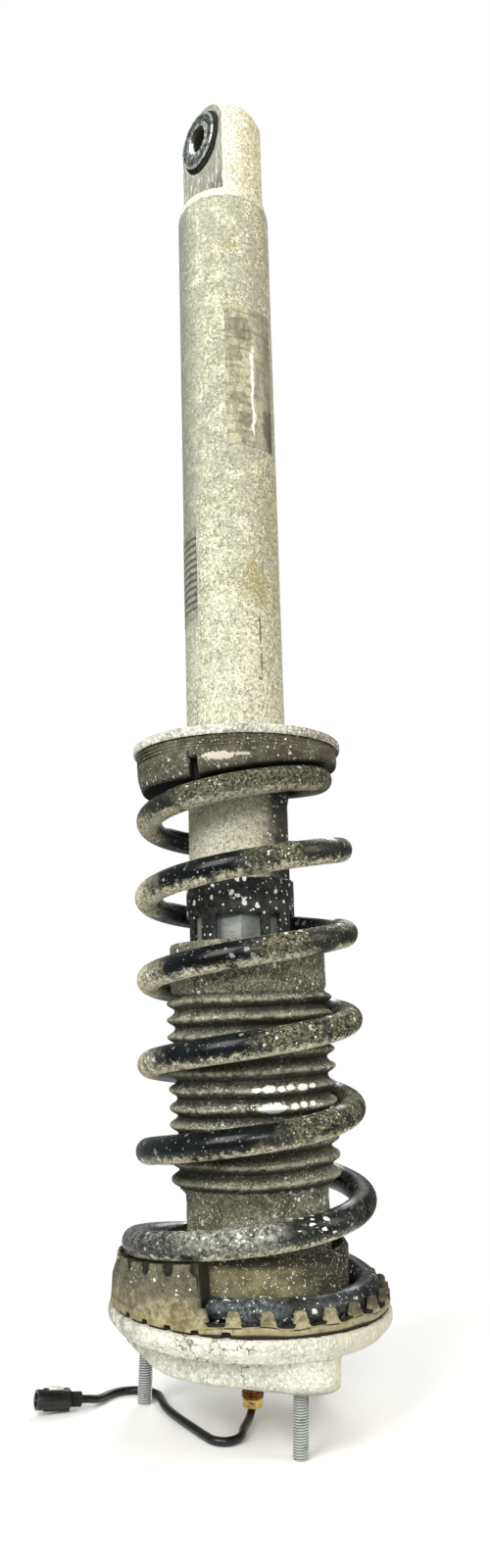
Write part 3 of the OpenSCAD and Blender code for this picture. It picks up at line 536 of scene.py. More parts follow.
material("cap_plastic", coated(0x121414, (0x383c38, noise(4, 4, 0.7).ramp(0.42, 0.66)),
    (WHITE_SPECK, spots(3.6, 0.24) * Z.ramp(CAP_TOP - 22, CAP_TOP - 16)),
    (WHITE_SPECK, spots(1.5, 0.26, (4, 4, 4)))),
    (noise(1.2, 3), 0.08), Roughness=0.5, Specular_IOR_Level=0.45)
material("rusty_steel", coated(0x5c3016, (0xbe7c3e, noise(2.4, 5, 0.75).ramp(0.38, 0.62)),
    (0xe2b268, noise(1.4, 3, 0.7, (3, 1, 7)).ramp(0.56, 0.68, 0, 0.8))),
    (noise(0.8, 4, 0.8), 0.12), Metallic=0.55, Roughness=0.55)
film_look("code_film", 0x8a8c7c, 0x646456, (1, 1, 2), (4.4, 0.5, 0x3a3c34, Z.between(414, 460, 1) * 0.8))
material("lead_jacket", mix(0x070707, 0x2c2b28, noise(2, 4, 0.75).ramp(0.54, 0.7)),
    (noise(0.8, 3), 0.04), Roughness=0.3, Specular_IOR_Level=0.45)
for look in (
        ("zinc_steel", 0xe4e9e6, 0xa0a4a0, 0.36, 0.3, 0.35),
        ("plain_steel", 0x96989a, 0x706c64, 0.38, 0.4),
        ("nut_steel", 0x969b96, 0x686c68, 0.42, 0.35, 0.3, 3, (1, 1, 0.3)),
        ("chromed_rod", 0xd6d8dc, 0xb4b4b6, 0.12, 0.1),
        ("gland_brass", 0xf0d076, 0x8a5626, 0.3, 0.4, 0.7, 2),
        ("guide_bronze", 0xaa9260, 0x78643e, 0.35, 0.3),
        ("plug_plastic", 0x09090a, 0x3a3a37, 0.3, 0.25, 0, 1.6),
        ("latch_plastic", 0xdeded8, 0xa8a69c, 0.4, 0.3, 0, 4),
        ("band_plastic", 0x544838, 0x383026, 0.4, 0.3, 0)):
    metal_look(*look)


# ---- Mesh helpers ----

# slots with another name than their look
SLOTS = {"eye_alloy": "cast_alloy", "mount_alloy": "cast_alloy", "perch_alloy": "cast_alloy", "code_film": "label_film",
    "nut_steel": "plain_steel", "bush_steel": "plain_steel", "sleeve_steel": "plain_steel"}


def finish_piece(obj, body, look, *nodes, sharp=40):
    """Shades and paints a new piece, gives its body, and hides the CAD nodes that it stands for."""
    obj.data.materials.clear()
    obj.data.materials.append(LOOKS[look])
    obj.data.shade_smooth()
    obj.data.set_sharp_from_angle(angle=radians(sharp))
    if body:
        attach(obj, body)
    if nodes:
        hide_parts(*nodes)
    SLOTS.get(look, look)
    return obj


def clean(obj, flat=False):
    """Joins points that coincide, and turns the faces outwards or merges those in one plane."""
    work = bmesh.new()
    work.from_mesh(obj.data)
    bmesh.ops.remove_doubles(work, verts=work.verts, dist=1e-6)
    if flat:
        bmesh.ops.dissolve_limit(work, angle_limit=radians(1), verts=work.verts, edges=work.edges)
    else:
        bmesh.ops.dissolve_degenerate(work, edges=work.edges, dist=1e-7)
        bmesh.ops.recalc_face_normals(work, faces=work.faces)
    work.to_mesh(obj.data)
    work.free()
    return obj


def modified(obj, **modifiers):
    """Applies modifiers in order. Each has its settings."""
    for kind, settings in modifiers.items():
        setup(obj.modifiers.new(kind, kind), **settings)
    obj.data = bpy.data.meshes.new_from_object(obj.evaluated_get(bpy.context.evaluated_depsgraph_get()))
    obj.modifiers.clear()
    return obj


def bevel(width, angle):
    return dict(width=width * MM, segments=2, limit_method="ANGLE", angle_limit=radians(angle))


def copy_of(node, name):
    return put(name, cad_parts[node].data.copy())


def casting(node, name, body, look, voxel, rounds, sharp=60):
    """A CAD node's mesh with the soft edges of a casting."""
    obj = modified(copy_of(node, name), REMESH=dict(mode="VOXEL", voxel_size=voxel * MM),
        SMOOTH=dict(factor=0.5, iterations=rounds))
    finish_piece(obj, body, look, node, sharp=sharp)


def mesh_piece(name, points, faces, place=Matrix()):
    """A new object from points in millimetres."""
    mesh = bpy.data.meshes.new(name)
    mesh.from_pydata([tuple(p) for p in np.asarray(points, float) * MM], [], faces)
    in_metres = place.copy()
    in_metres.translation *= MM
    mesh.transform(in_metres)
    mesh.validate()
    return put(name, mesh)


def grid_faces(rings, around, closed):
    return [(i * around + j, i * around + (j + 1) % around,
        (i + 1) % rings * around + (j + 1) % around, (i + 1) % rings * around + j)
        for i in range(rings if closed else rings - 1) for j in range(around)]


def swept(name, rings, place=Matrix(), closed=False):
    """A skin over rings of equal point counts, with its ends filled unless it closes on itself."""
    rings = np.asarray(rings, float)
    count, around = rings.shape[:2]
    faces = grid_faces(count, around, closed)
    if not closed:
        faces += [tuple(range(around))[::-1], tuple(range((count - 1) * around, count * around))]
    return clean(mesh_piece(name, rings.reshape(-1, 3), faces, place))


def rounded(outline, reach, steps=4):
    """A closed outline with its corners rounded. A corner (x, y, r) has its own reach."""
    turns = [(Vector(p[:2]), p[2] if len(p) > 2 else reach) for p in outline]
    result = []
    for i, (here, reach) in enumerate(turns):
        before, after = turns[i - 1][0] - here, turns[(i + 1) % len(turns)][0] - here
        cut = min(reach, 0.45 * before.length, 0.45 * after.length)
        start, end = here + before.normalized() * cut, here + after.normalized() * cut
        for u in [k / steps for k in range(steps + 1)] if cut >= 1e-4 else [0]:
            result.append(tuple((1 - u) ** 2 * start + 2 * u * (1 - u) * here + u * u * end))
    return result


def turned(r, angle, z):
    return r * cos(angle), r * sin(angle), z


def whole_turn(steps):
    return np.arange(steps) * 2 * pi / steps


def lathe(name, outline, place, steps, at=turned):
    """Turns a closed outline of (radius, height) round the axis of its place."""
    return swept(name, [[at(r, a, z) for r, z in outline] for a in whole_turn(steps)], place, closed=True)


def turned_piece(name, body, look, nodes, outline, reach, place=Matrix(), steps=96, at=turned, corner=4):
    return finish_piece(lathe(name, rounded(outline, reach, corner), place, steps, at), body, look, *nodes)


def ring_outline(inner, outer, low, high):
    return [(inner, low), (outer, low), (outer, high), (inner, high)]


def corners(r, z, *steps):
    """Corners of an outline, each (across, up) or (across, up, reach) from a radius and a height."""
    return [(r + across, z + up, *reach) for across, up, *reach in steps]


def smooth_path(points, per_segment):
    """Points along a smooth curve through the given ones."""
    points = [Vector(p) for p in points]
    padded = [2 * points[0] - points[1]] + points + [2 * points[-1] - points[-2]]
    result = []
    for a, b, c, d in zip(padded, padded[1:], padded[2:], padded[3:]):
        for u in np.arange(per_segment) / per_segment:
            result.append(0.5 * (2 * b + (c - a) * u + (2 * a - 5 * b + 4 * c - d) * u * u
                + (3 * b - a - 3 * c + d) * u ** 3))
    return result + [points[-1]]


def waves(seed, count, low, high):
    """A smooth wandering function of an angle, from a few waves with seeded phases."""
    draw = np.random.default_rng(seed)
    phases, heights = draw.uniform(0, 2 * pi, count), draw.uniform(0.4, 1, count)
    orders = draw.integers(low, high + 1, count)
    total = heights.sum()
    return lambda a: float((heights * np.sin(orders * a + phases)).sum() / total)


def ease(u):
    u = min(max(u, 0), 1)
    return u * u * (3 - 2 * u)


def unease(w):
    """The share whose ease is w."""
    return 0.5 - sin(math.asin(1 - 2 * min(max(w, 0), 1)) / 3)


def points_of(obj):
    co = np.zeros(len(obj.data.vertices) * 3)
    obj.data.vertices.foreach_get("co", co)
    return co.reshape(-1, 3)


def follow(obj, shares):
    """Keeps a piece's rest places on its points. Each point's share, 0 for the mount and 1 for the tube, is set on the
    points and then written over.
    """
    places = points_of(obj)
    line = np.zeros_like(places)
    line[:, 0] = [unease(share) for share in shares]
    obj.data.vertices.foreach_set("co", line.ravel())
    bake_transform(obj)
    obj.data.vertices.foreach_set("co", places.ravel())
    rest = obj.data.attributes.new("rest_place", "FLOAT_VECTOR", "POINT")
    rest.data.foreach_set("vector", places.ravel())
    obj.data.update()


# ---- Signal lead and its connector ----

lead_curve = setup(bpy.data.curves.new("signal_cord", "CURVE"), dimensions="3D", bevel_depth=LEAD_R * MM,
    bevel_resolution=5, use_fill_caps=True)
lead_points = smooth_path(LEAD_ROUTE, 6)
lead_spline = lead_curve.splines.new("POLY")
lead_spline.points.add(len(lead_points) - 1)
for point, place in zip(lead_spline.points, lead_points):
    point.co = (*(place * MM), 1)
lead_spline.use_smooth = True
lead_curve.materials.append(LOOKS["lead_jacket"])
lead = put("signal_cord", lead_curve)
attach(lead, "top_mount")
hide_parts("signal_lead")
lead_length = sum((b - a).length for a, b in zip(lead_points, lead_points[1:]))

SEAL_LEN, HOUSING_R = 7, 5
seal_outline = [(0, 0), (LEAD_R + 0.3, 0)]
for low in np.arange(4) * 1.45:  # ribs of the seal behind the connector
    seal_outline += corners(LEAD_R, low, (1.7, 0.5), (1.7, 1.2), (0.8, 1.5))
seal_outline += [(HOUSING_R - 1.2, 6.3), (HOUSING_R - 1.2, SEAL_LEN), (0, SEAL_LEN)]
on_lead = [turned_piece("plug_seal", "top_mount", "seal_rubber", ["connector_seal"], seal_outline, 0.25,
    ON_CONNECTOR @ about("Y", pi / 2), 40, corner=2)]
for name, node, look, body in (
        ("cable_gland_hex", "cable_gland", "gland_brass", "top_mount"),
        ("plug_housing", "connector_housing", "plug_plastic", "top_mount"),
        ("plug_latch", "connector_latch", "latch_plastic", "top_mount"),
        ("rod_nut_hex", "rod_nut", "rusty_steel", "top_mount"),
        ("tube_closure_nut", "closure_nut", "nut_steel", "damper_tube")):
    obj = modified(clean(copy_of(node, name), flat=True), BEVEL=bevel(0.3, 32))
    on_lead.append(finish_piece(obj, body, look, node, sharp=35))
[c * MM for c in LEAD_ROUTE[0]]
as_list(on_lead[:4])


# ---- Spring, swept along its own turns ----

CLOSED_TURNS = 0.3
PITCH_SHARE = ([0, CLOSED_TURNS, CLOSED_TURNS + 0.1, TURNS - 1.15, TURNS], [0, 0, 1, 1, 0.7])
climb_at = np.linspace(0, TURNS, 620)
climb_steps = np.interp((climb_at[1:] + climb_at[:-1]) / 2, *PITCH_SHARE)
climb_sum = np.concatenate([[0], np.cumsum(climb_steps)]) / climb_steps.sum()


def coil_base(t):
    return SPRING_LOW + (SPRING_HIGH - SPRING_LOW) * float(np.interp(t, climb_at, climb_sum))


def coil_tilt(t):
    return LEAN * (1 - 2 * t / TURNS)


def azimuth(t):
    return TAIL + 2 * pi * t


def coil_point(t):
    r = MOUNT_COIL_R - FLARE * ease((t - 0.9) / 1.1) - DRAW_IN * ease((t - (TURNS - 0.95)) / 0.8)
    x, y, _ = turned(r, azimuth(t), 0)
    lean_share = min(1, 1 - (t - 1) / (TURNS - 1))
    return Vector(((coil_base(t) * sin(LEAN) - SHIFT) * lean_share + x, y, coil_base(t) - x * sin(coil_tilt(t))))


RINGS_A_TURN, WIRE_SIDES = 72, 20
END_BEVEL, END_TURNS = 0.9, 0.005  # the bevel of each end in millimetres and in turns
ACTIVE_FROM, ACTIVE_TO = 0.9, 5.65  # turns; the rest lies dead in its seats
plain_turns = [END_TURNS, *np.linspace(0, TURNS, int(TURNS * RINGS_A_TURN))[1:-1], TURNS - END_TURNS]
coil_rings, coil_turns = [], []
for t, r in [(0, WIRE_R - END_BEVEL), *((t, WIRE_R) for t in plain_turns), (TURNS, WIRE_R - END_BEVEL)]:
    along = (coil_point(t + 0.01) - coil_point(t - 0.01)).normalized()
    side = along.cross(Vector((0, 0, 1))).normalized()
    over = side.cross(along)
    coil_rings.append([coil_point(t) + r * (cos(b) * side + sin(b) * over) for b in whole_turn(WIRE_SIDES)])
    coil_turns += [t] * WIRE_SIDES
coil = swept("suspension_coil", coil_rings)
finish_piece(coil, None, "spring_enamel", "coil_spring", sharp=50)
follow(coil, [(t - ACTIVE_FROM) / (ACTIVE_TO - ACTIVE_FROM) for t in coil_turns])


# ---- Spring pad, with its heights from the mount's top ----

COLLAR_R, COLLAR_IN_R = 52.8, 49.6
RIM_IN_R, PAD_R = 70.9, 75.1
PAD_FROM, PAD_TO = -0.0035, 0.9895
TEETH, TOOTH_DEPTH, POCKET_DEPTH = 28, 6, 3.2
HIGH_WALL_FROM = 0.45  # turns; from here the rim is a wall with narrow notches
RIM_RISE = ([0, 0.42, 0.8, 0.97], [12, 12, 25.5, 27])
DRAINS = [radians(a) for a in (-145.7, -134.6, -123, -111.3, -99.4, 150, 118, 60, 20)]
wavy, lumpy = waves(3, 7, 5, 19), waves(5, 9, 8, 40)
pad_rings = []
for share in np.linspace(0, 1, 1080):
    t = PAD_FROM + (PAD_TO - PAD_FROM) * share
    a = azimuth(t)
    ramp = (coil_base(t) + MOUNT_COIL_R * cos(a) * (sin(LEAN) - sin(coil_tilt(t))) - WIRE_R - 0.3 - MOUNT_H)
    tooth = (share * (TEETH - 0.5) + 0.24) % 1
    cut = pocket = 0
    if t < HIGH_WALL_FROM:
        away = (tooth + 0.25) % 1 - 0.5  # from the tooth's middle, in teeth; its far side slopes more
        cut = TOOTH_DEPTH * max(ease((-0.13 - away) / 0.1), ease((away - 0.13) / 0.19)) + 1.6 * abs(away) ** 2
    else:
        pocket = POCKET_DEPTH * (1 - ease((abs(tooth - 0.75) - 0.17) / 0.06)) * ease((t - 0.6) / 0.1)
    rounding = 2.6 * min(abs(tooth - 0.75) / 0.2, 1) ** 2  # of the pocket's lower corners
    rim = max(ramp + 0.5, float(np.interp(t, *RIM_RISE)) - cut + 0.25 * lumpy(a))
    rim_r = PAD_R - 1.2 - 0.12 * max(0, rim - 12)
    front_right = ease((PAD_R * cos(a) + 32) / 20)  # there the rim's edge is folded over and wavy
    seam = 2.3 + (2.6 + 1.5 * wavy(a)) * front_right
    drain = max(1 - ease((abs((a - d + pi) % (2 * pi) - pi) - 0.022) / 0.01) for d in DRAINS)
    foot_r, lift = PAD_R - 1 - 2 * drain, 1.8 * drain
    top = max(ramp, 32)
    outline = [(COLLAR_IN_R, 0, 0.3), (foot_r - 0.3, 0, 0.3), (foot_r, 0.8, 0.3), (foot_r, 1 + lift, 0),
        (PAD_R, max(1.3 + lift, seam - 1.5), 0.2), (PAD_R - 0.1, max(1.4 + lift, seam - 0.55), 0.1),
        (PAD_R - 0.1 - 0.9 * front_right, max(1.5 + lift, seam), 0.1),
        (PAD_R - 0.15, max(1.6 + lift, seam + 0.55), 0.1), (PAD_R - 0.4 + 0.2 * lumpy(2 * a), (seam + rim) / 2, 0),
        (rim_r + 0.2, rim - 6.4 + rounding, 0), (rim_r + 0.2 - pocket, rim - 5.8 + rounding, 0),
        (rim_r - pocket, rim - 0.2, 1), (RIM_IN_R - pocket, rim, 0.5), (RIM_IN_R - 0.2 - pocket, ramp + 0.2, 0.6),
        (COLLAR_R + 0.3, ramp + 0.2, 0.8), (COLLAR_R, top - 2.5, 0.5), (COLLAR_R - 1.4, top - 0.2, 0.8),
        (COLLAR_IN_R, top, 0.6)]
    pad_rings.append([turned(r, a, z) for r, z in rounded(outline, 0, 3)])
finish_piece(swept("moulded_spring_pad", pad_rings, ON_MOUNT @ moved(0, 0, MOUNT_H), closed=True),
    "top_mount", "pad_rubber", "spring_pad", sharp=60)


# ---- Dust boot ----

SMOOTH_H, COLLAR_H, RIBS, BOOT_WALL = 57, 28, 11, 2
BOOT_R = CAP_R + 13
FOOT_R, VALLEY_R, RIDGE_R = BOOT_R - 5, BOOT_R - 1.6, BOOT_R + 3
BOOT_H = BOOT_TOP - BOOT_FOOT_Z
BELLOWS_TOP = BOOT_H - COLLAR_H
RIB_PITCH = (BELLOWS_TOP - SMOOTH_H) / RIBS
BOOT_NECK_R = CAP_R + BOOT_SHIFT + BOOT_H * sin(BOOT_LEAN) + 0.6
FOLD_FROM, FOLD_TO = 62, 197  # heights over which the shares given to follow run from 0 to 1


def ribs(low_r, *shape):
    """The outline of the bellows. A rib's shape gives (height, reach) as shares of a rib."""
    return [(low_r + (RIDGE_R - VALLEY_R) * reach, SMOOTH_H + (rib + height) * RIB_PITCH)
        for rib in range(RIBS) for height, reach in shape]


boot_outline = corners(FOOT_R, 0, (3, 0), (3, 2.6), (2.2, 3.6), (0, 5))
for level in range(12, 55, 6):  # the plain foot, with a shallow ring at every second step
    boot_outline.append((FOOT_R + (0.35 if level % 12 else 0), level))
boot_outline += ribs(VALLEY_R, (0, 0), (0.1, 0.05), (0.2, 0.3), (0.32, 0.72), (0.42, 0.95), (0.5, 1),
    (0.58, 0.96), (0.66, 0.74), (0.76, 0.36), (0.88, 0.1))
boot_outline += corners(BOOT_R, BELLOWS_TOP, (-0.8, 0), (0, 1.5), (0, 9), (-0.35, 10), (0, 11))
boot_outline += corners(BOOT_R, BOOT_H, (0, -2.2), (-0.7, -0.6), (-2.4, 0))
boot_outline += [(BOOT_NECK_R, BOOT_H), (BOOT_NECK_R, BOOT_H - BOOT_WALL), (BOOT_R - BOOT_WALL, BOOT_H - BOOT_WALL),
    (BOOT_R - BOOT_WALL, BELLOWS_TOP)]
boot_outline += ribs(VALLEY_R - BOOT_WALL, (0.1, 0), (0.5, 1), (0.6, 1))[::-1]
boot_outline += [(FOOT_R - BOOT_WALL, SMOOTH_H - 3), (FOOT_R - BOOT_WALL, 0)]
rib_waves = [waves(40 + rib, 5, 1, 5) for rib in range(RIBS + 1)]


def boot_point(r, a, z):
    """Each rib is pressed in, and sits a little higher or lower, by its own waves."""
    rib = int(min(max((z - SMOOTH_H) / RIB_PITCH, 0), RIBS))
    wander = rib_waves[rib](a) * ease(min((z - SMOOTH_H) / 4, (BELLOWS_TOP - z) / 4))
    outer = ease((r - VALLEY_R + 1) / 3)
    return turned(r - 0.5 * outer * abs(wander), a, z + 0.8 * outer * wander)


boot = lathe("moulded_dust_boot", boot_outline, ON_BOOT, 128, boot_point)
finish_piece(boot, None, "boot_rubber", "dust_boot", sharp=55)
follow(boot, [(p[2] / MM - FOLD_FROM) / (FOLD_TO - FOLD_FROM) for p in points_of(boot)])


# ---- Perch, its ring and its rubber seat ----

GROOVE_Z = PERCH_Z + 9.1
rim_rough = waves(11, 14, 9, 60)


def perch_point(r, a, z):
    out = ease((r - PERCH_R + 6) / 6)
    return turned(r - 0.55 * out * (0.5 + 0.5 * rim_rough(a + z)) ** 2, a, z + 0.2 * out * rim_rough(2 * a + 1))


turned_piece("cast_spring_perch", "damper_tube", "perch_alloy", ["spring_perch"], [(TUBE_R + 0.1, PERCH_Z, 0.2),
    *corners(PERCH_R, PERCH_Z, (-2, 0, 0.2), (-0.7, -1.3, 0.5), (0, 0, 0.4), (0, 3.2, 0.9),
        (-1.2, 4.4, 0.9), (-9, 4.4, 2), (-11, 3.6, 2)),
    *corners(PERCH_HUB_R, PERCH_Z, (7, 3.6, 2), (0.5, 5.6, 2.5), (0, 9, 1)),
    (TUBE_R + 0.1, PERCH_Z + 9, 0.4)], 0.4, steps=240, at=perch_point, corner=3)
turned_piece("perch_snap_ring", "damper_tube", "zinc_steel", ["perch_ring"],
    ring_outline(TUBE_R - 0.85, TUBE_R + 2.2, GROOVE_Z + 0.05, GROOVE_Z + 2.95), 0.9, steps=128)

SEAT_R, SEAT_LOW_R, SEAT_IN_R, SEAT_H = PERCH_R - 2.2, PERCH_R - 5.4, TUBE_R + 1.2, 24
SEAT_FROM, SEAT_TURNS = TURNS - 0.992, 0.994
SLOT_FROM, SLOT_TO, SLOT_TOP = radians(-117.4), radians(-111.8), 318
seat_lump = waves(21, 9, 6, 30)
seat_rings = []
for share in np.linspace(0, 1, 540):
    t = SEAT_FROM + SEAT_TURNS * share
    a = azimuth(t)
    low = max(coil_point(t).z + WIRE_R + 0.6, PERCH_Z - SEAT_H)
    left = ease((0.75 - cos(a - radians(190))) / -0.25)
    ridge = 0.35 + 1.3 * left  # the mould lines open into lips on the left
    outline = [(SEAT_IN_R, low + 1.5, 0.8), (SEAT_LOW_R - 6, low + 0.2, 1.5),
        (SEAT_LOW_R, low + 0.6 + 0.3 * seat_lump(a), 2.2), (SEAT_R - 0.5, min(low + 9, PERCH_Z - 10), 3)]
    for line in (PERCH_Z - 7.4, PERCH_Z - 5.4, PERCH_Z - 3.4):
        outline += corners(SEAT_R, line, (-0.1, -0.7, 0.15), (-ridge, -0.35, 0.1), (-ridge, 0, 0.1), (0, 0.35, 0.15))
    outline += [(SEAT_R, PERCH_Z - 0.8, 0.6), (SEAT_R - 1, PERCH_Z - 0.1, 0.4), (SEAT_IN_R, PERCH_Z - 0.1, 0.4)]
    in_slot = SLOT_FROM < (a + pi) % (2 * pi) - pi < SLOT_TO
    seat_rings.append([turned(SEAT_R - 7 if in_slot and z < SLOT_TOP and r > SEAT_R - 8 else r, a, z)
        for r, z in rounded(outline, 0, 3)])
finish_piece(swept("moulded_perch_seat", seat_rings, closed=True), "damper_tube", "seat_rubber", "perch_seat", sharp=50)


# ---- Damper tube, eye and labels ----

turned_piece("damper_shell", "damper_tube", "tube_alloy", ["outer_tube"], [(BORE_R, TUBE_Z, 0.3), (TUBE_R, TUBE_Z, 0.5),
    *corners(TUBE_R, GROOVE_Z, (0, 0, 0.1), (-0.9, 0, 0.1), (-0.9, 3, 0.1), (0, 3, 0.1)),
    (TUBE_R, TUBE_TOP, 0.8), (BORE_R, TUBE_TOP, 0.2)], 0.2, steps=192)
casting("eye_head", "forged_eye_head", "damper_tube", "eye_alloy", 0.75, 4, sharp=50)

LIP_R = WASHER_R + 1.6
turned_piece("eye_bush_shell", "damper_tube", "plain_steel", ["eye_bush_ring"],
    ring_outline(BUSH_R - 2, BUSH_R, -EYE_HALF, EYE_HALF), 0.6, ON_EYE, 128)
rubber_half = [(r, EYE_HALF + z) for r, z in (
    (SLEEVE_R + 0.05, 1.9), (WASHER_R - 0.6, 1.9), (WASHER_R + 0.5, 1.6), (LIP_R, 0.9), (LIP_R, 0.3),
    (BUSH_R - 2.1, 0.1))]
turned_piece("eye_bush_moulding", "damper_tube", "bush_rubber", ["eye_bush_rubber"],
    rubber_half + [(r, -z) for r, z in reversed(rubber_half)], 0.5, ON_EYE, 128)
turned_piece("eye_inner_sleeve", "eye_sleeve", "sleeve_steel", ["eye_sleeve"], [
    (BOLT_R + 1.8, -SLEEVE_HALF, 0.25), (SLEEVE_R, -SLEEVE_HALF, 0.5), (SLEEVE_R, SLEEVE_HALF, 0.5),
    (BOLT_R + 1.8, SLEEVE_HALF, 0.25), (BOLT_R, SLEEVE_HALF - 1.8, 0.3), (BOLT_R, 1.8 - SLEEVE_HALF, 0.3)], 0.3, ON_EYE)
for name, side, nodes in (("eye_washer_rear", -1, []), ("eye_washer_front", 1, ["eye_washers"])):
    turned_piece(name, "eye_sleeve", "bush_steel", nodes, [
        (r, side * (SLEEVE_HALF - less), reach) for r, less, reach in (
            (SLEEVE_R + 0.05, 2, 0.1), (WASHER_R - 0.8, 2, 0.3), (WASHER_R, 1.3, 0.5), (WASHER_R - 0.3, 0.15, 0.5),
            (WASHER_R - 1.6, 0.35, 0.4), (SLEEVE_R + 1.2, 0.35, 0.3), (SLEEVE_R + 0.05, 0.1, 0.2))], 0.3, ON_EYE, 128)

FILM_R, FILM_IN_R = TUBE_R + 0.24, TUBE_R + 0.06
FILM_COLUMNS, FILM_ROWS = 90, 60
for name, look, node, first, wide, seed in (("worn_tube_film", "label_film", "tube_label", -91, 66, 31),
        ("worn_code_film", "code_film", "code_label", 176, 48, 32)):
    _, low, high = sizes(node)
    fray = waves(seed, 11, 8, 60)
    rings = []
    for i in range(FILM_COLUMNS + 1):  # the outer two columns are the frayed sides
        a = radians(first + wide * i / FILM_COLUMNS)
        heights = np.linspace(low + 0.9 * abs(fray(3 * a)), high - 0.9 * abs(fray(2 * a + 1)), FILM_ROWS + 1)
        frayed = radians(0.7) * ((i == FILM_COLUMNS) - (i == 0))
        rings.append([turned(r, a + frayed * fray(z / 9), z)
            for r, zs in ((FILM_R, heights), (FILM_IN_R, heights[::-1])) for z in zs])
    finish_piece(swept(name, rings), "damper_tube", look, node, sharp=60)


# ---- Cap with its windows ----

WINDOWS = [(-117, 48), (-58, 13)]  # first direction and width in degrees, in each quarter
WINDOW_LOW, WINDOW_HIGH = CAP_Z + 3, CAP_Z + 20
cap_levels = [(ROD_R + 3, CAP_Z), *corners(CAP_R, CAP_Z, (-1.2, 0), (-0.3, 0.4), (0, 1.3), (0, 3), (0, 11.5), (0, 20)),
    *corners(CAP_R, CAP_TOP, (0, -13), (-0.3, -12.5), (0, -12), (0, -1), (-0.8, 0))]
cap_angles = []
for quarter in range(4):
    for (start, wide), stop in zip(WINDOWS, (WINDOWS[1][0], WINDOWS[0][0] + 90)):
        for low, high in ((start, start + wide), (start + wide, stop)):
            cap_angles += list(np.linspace(low, high, max(2, round((high - low) / 3)) + 1)[:-1] + 90 * quarter)


def in_window(angle, level):
    across = any(0 <= (angle - WINDOWS[0][0]) % 90 - (start - WINDOWS[0][0]) < wide for start, wide in WINDOWS)
    return across and WINDOW_LOW <= level < WINDOW_HIGH


rows = len(cap_levels)
cap_faces = []
for i, a in enumerate(cap_angles):
    after = (i + 1) % len(cap_angles)
    middle = a + (cap_angles[after] - a) % 360 / 2
    cap_faces += [(i * rows + k, after * rows + k, after * rows + k + 1, i * rows + k + 1)
        for k in range(rows - 1) if not in_window(middle, cap_levels[k][1])]
cap = mesh_piece("slotted_tube_cap", [turned(r, radians(a), z) for a in cap_angles for r, z in cap_levels], cap_faces)
modified(cap, SOLIDIFY=dict(thickness=1.85 * MM, offset=-1, use_even_offset=True), BEVEL=bevel(0.3, 50))
finish_piece(cap, "damper_tube", "cap_plastic", "tube_cap", sharp=35)


# ---- Top mount: plate, studs, bush and the rod's end ----

casting("mount_plate", "cast_mount_plate", "top_mount", "mount_alloy", 1, 5)
casting("mount_bush", "mount_bush_moulding", "top_mount", "bush_rubber", 0.8, 3)


THREAD_DEPTH, THREAD_TIP, THREAD_SIDES = 0.61, 0.8, 48  # the depth is a share of the pitch


def threaded(name, size, pitch, low, high, place=Matrix(), bore=0):
    """A threaded length from low, its tip, to high. It is solid, or a tube with a bore."""
    depth = THREAD_DEPTH * pitch
    rings = []
    for z in np.linspace(low, high, int((high - low) / pitch * 8) + 1):
        blunt = 0.9 * (1 - min(1, (z - low) / THREAD_TIP))
        rings.append([turned(size - depth * max(blunt, ease(abs((z / pitch - a / (2 * pi)) % 1 - 0.5) * 2.5)), a, z)
            for a in whole_turn(THREAD_SIDES)])
    if bore:
        rings += [[turned(bore, a, z) for a in whole_turn(THREAD_SIDES)] for z in (high, low)]
    rod = swept(name, rings, place, closed=bool(bore))
    # each point's share of the thread's depth, which the looks paint as shade in the valleys
    inwards = rod.data.attributes.new("groove", "FLOAT", "POINT")
    local = [place.inverted() @ Vector(p / MM) for p in points_of(rod)]
    inwards.data.foreach_set("value", [min(max((size - math.hypot(p.x, p.y)) / depth, 0), 1) for p in local])
    return rod


def joined(name, parts):
    """One object from several, in order."""
    for part in parts:
        part.select_set(True)
    with bpy.context.temp_override(active_object=parts[0], selected_editable_objects=parts, object=parts[0]):
        bpy.ops.object.join()
    parts[0].name = parts[0].data.name = name
    return parts[0]


for spot, side, nodes in zip(STUD_SPOTS, ("front", "left", "rear"), (["mount_studs"], [], [])):
    place = ON_MOUNT @ moved(*spot, 0)
    thread = threaded("thread", STUD_R, 1.25, -STUD_TIP, -0.6, place)
    shank = lathe("shank", rounded([
        (0, -0.8, 0), *corners(STUD_R, 0, (-0.8, -0.8, 0.1), (0, -0.1, 0.3), (0.4, 0.1, 0.1)),
        *corners(STUD_R, MOUNT_H, (0.4, -3, 0.1), (3.2, -3, 0.3), (3.2, 0, 0.5)), (0, MOUNT_H, 0)], 0.1), place, 64)
    finish_piece(joined("stud_" + side, [thread, shank]), "top_mount", "zinc_steel", *nodes, sharp=35)

LEAD_HOLE_R = LEAD_R + 0.1
PISTON_Z, PISTON_TOP = sizes("piston")[1:]
THREAD_TOP = -9
finish_piece(threaded("rod_end_thread", NECK_R, 1.5, -THREAD_BELOW, THREAD_TOP, bore=LEAD_HOLE_R), "top_mount",
    "rusty_steel", sharp=35)
turned_piece("piston_rod_bar", "top_mount", "chromed_rod", ["piston_rod"], [
    (LEAD_HOLE_R, THREAD_TOP, 0.1), (NECK_R - 0.6, THREAD_TOP, 0.2), (NECK_R, SHOULDER_Z, 0.1),
    (ROD_R, SHOULDER_Z, 0.6), (ROD_R, PISTON_Z, 0.3), (NECK_R, PISTON_Z, 0.2), (NECK_R, PISTON_TOP, 0.4),
    (LEAD_HOLE_R, PISTON_TOP, 0.2)], 0.2)


# ---- Soft pieces inside ----

